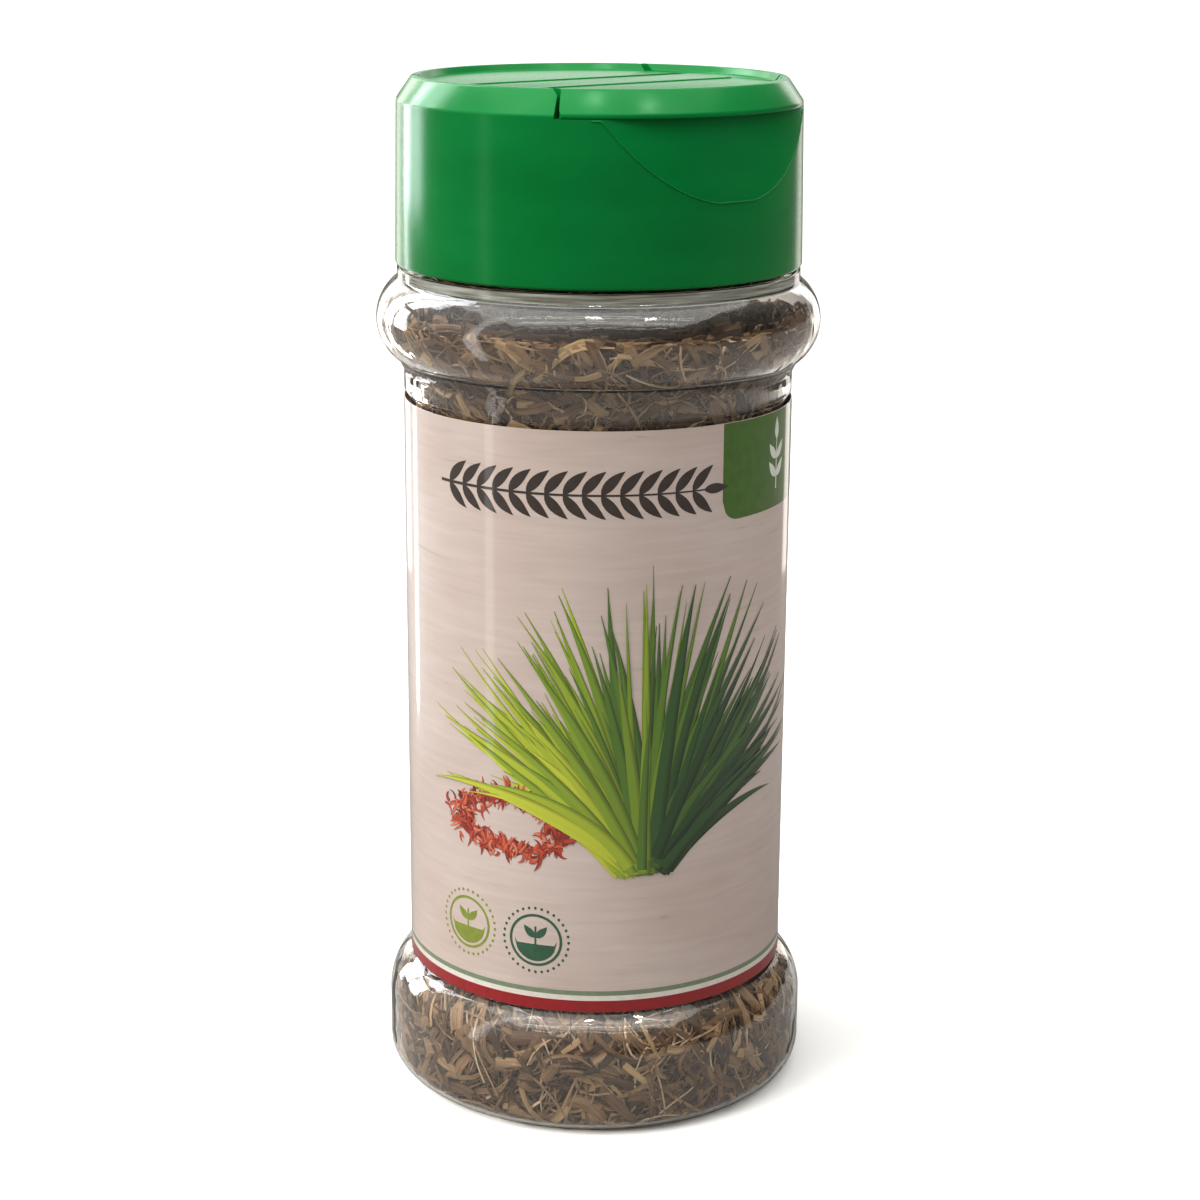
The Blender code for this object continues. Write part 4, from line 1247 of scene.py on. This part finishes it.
def soft_sky():
    """World light: pale, brighter up and to the left, and dimmer low on the right."""
    world = bpy.data.worlds.new("soft_sky")
    bpy.context.scene.world = world
    world.use_nodes = True
    tree = world.node_tree
    direction = add(tree, "TexCoord").outputs["Generated"]
    facing = add(tree, "VectorMath", {0: direction, 1: (-0.5, 0.0, 0.86)}, operation="DOT_PRODUCT")
    spread = add(tree, "MapRange", {"Value": facing.outputs["Value"], "From Min": -1.0, "From Max": 1.0})
    tones = add(tree, "ValToRGB", {"Fac": spread},
                stops=[(0.25, "#3c3a38"), (0.5, "#6e6a66"), (0.75, "#b9b6b2"), (1.0, "#ffffff")])
    connect(tree.nodes["Background"], {"Color": tones, "Strength": SKY_STRENGTH})


def lamp_object(name, lamp, place, target):
    """Lamp at a place, facing a point, and not seen by the camera itself."""
    obj = placed(name, lamp)
    obj.location = place
    obj.rotation_euler = (Vector(target) - Vector(place)).to_track_quat("-Z", "Y").to_euler()
    obj.visible_camera = False
    return obj


def soft_box(name, place, target, width, height, brightness, tint="#ffffff", matt=True, gloss=True):
    """Rectangular lamp with a given brightness of its face, for matt surfaces, glossy ones or both."""
    lamp = bpy.data.lights.new(name, "AREA")
    lamp.shape = "RECTANGLE"
    lamp.size = width
    lamp.size_y = height
    lamp.energy = brightness * math.pi * width * height
    lamp.color = colour(tint)[:3]
    obj = lamp_object(name, lamp, place, target)
    obj.visible_diffuse = matt
    obj.visible_glossy = gloss
    obj.visible_transmission = gloss


def sun(place, strength, spread):
    """Wide soft light, even over the whole floor, that leaves no bright spot on the jar."""
    lamp = bpy.data.lights.new("overhead_light", "SUN")
    lamp.energy = strength
    lamp.angle = math.radians(spread)
    obj = lamp_object("overhead_light", lamp, place, (0.0, 0.0, 0.0))
    obj.visible_glossy = False
    obj.visible_transmission = False


CAMERA_PLACE = (0.0, -0.281475, 0.13321)
CAMERA_PITCH = 0.27036
CAMERA_YAW = -0.00133
CAMERA_ROLL = 0.00632
CAMERA_LENS = 76.98
LABEL_PLACE = (0.0, 0.0, 0.06)
SHOULDER_PLACE = (0.0, 0.0, 0.09)
TOP_PLACE = (0.0, 0.0, 0.12)

studio_floor()
soft_sky()
sun((-0.55, -0.20, 0.72), 2.9, 35.0)
soft_box("left_strip", (-0.113, 0.096, 0.12), TOP_PLACE, 0.010, 0.24, 10.0)
soft_box("left_back_panel", (-0.12, 0.20, 0.12), TOP_PLACE, 0.05, 0.26, 2.4, "#fff6f0")
soft_box("left_panel", (-0.125, -0.068, 0.12), TOP_PLACE, 0.014, 0.24, 1.8, matt=False)
soft_box("right_fill", (0.20, -0.04, 0.16), TOP_PLACE, 0.12, 0.26, 1.3, "#f0f4ff", gloss=False)
soft_box("right_back_panel", (0.12, 0.20, 0.12), TOP_PLACE, 0.05, 0.26, 1.6, "#fff6f0")
soft_box("overhead_panel", (0.0, -0.05, 0.80), (0.0, 0.0, 0.10), 1.30, 1.00, 1.6, "#f4f4ee")
soft_box("back_panel", (0.0, 1.20, 0.42), TOP_PLACE, 1.60, 0.44, 0.8, matt=False)
for column in (0, 1):
    for row in (0, 1, 2):
        place = (-0.42 + 0.055 * column, 0.24 + 0.10 * column, 0.13 + 0.23 * row)
        soft_box("window_pane", place, LABEL_PLACE, 0.09, 0.18, 8.0, "#f2f8ff", matt=False)
for depth in (-0.20, -0.36, -0.56):
    soft_box("tube_lamp", (0.0, depth, 0.66), SHOULDER_PLACE, 0.90, 0.012, 7.0, "#fbfaf0", matt=False)
for side in (-0.02, 0.2):
    soft_box("ceiling_lamp", (side, -0.22, 0.62), SHOULDER_PLACE, 0.05, 0.02, 60.0, matt=False)

camera = placed("camera", bpy.data.cameras.new("camera"))
camera.data.sensor_width = 36.0
camera.data.lens = CAMERA_LENS
camera.data.clip_start = 0.01
camera.data.clip_end = 50.0
turn = (Matrix.Rotation(CAMERA_YAW, 4, "Z") @ Matrix.Rotation(math.pi / 2 - CAMERA_PITCH, 4, "X")
        @ Matrix.Rotation(CAMERA_ROLL, 4, "Z"))
camera.matrix_world = Matrix.Translation(CAMERA_PLACE) @ turn
bpy.context.scene.camera = camera
bpy.context.scene.view_settings.view_transform = "Standard"
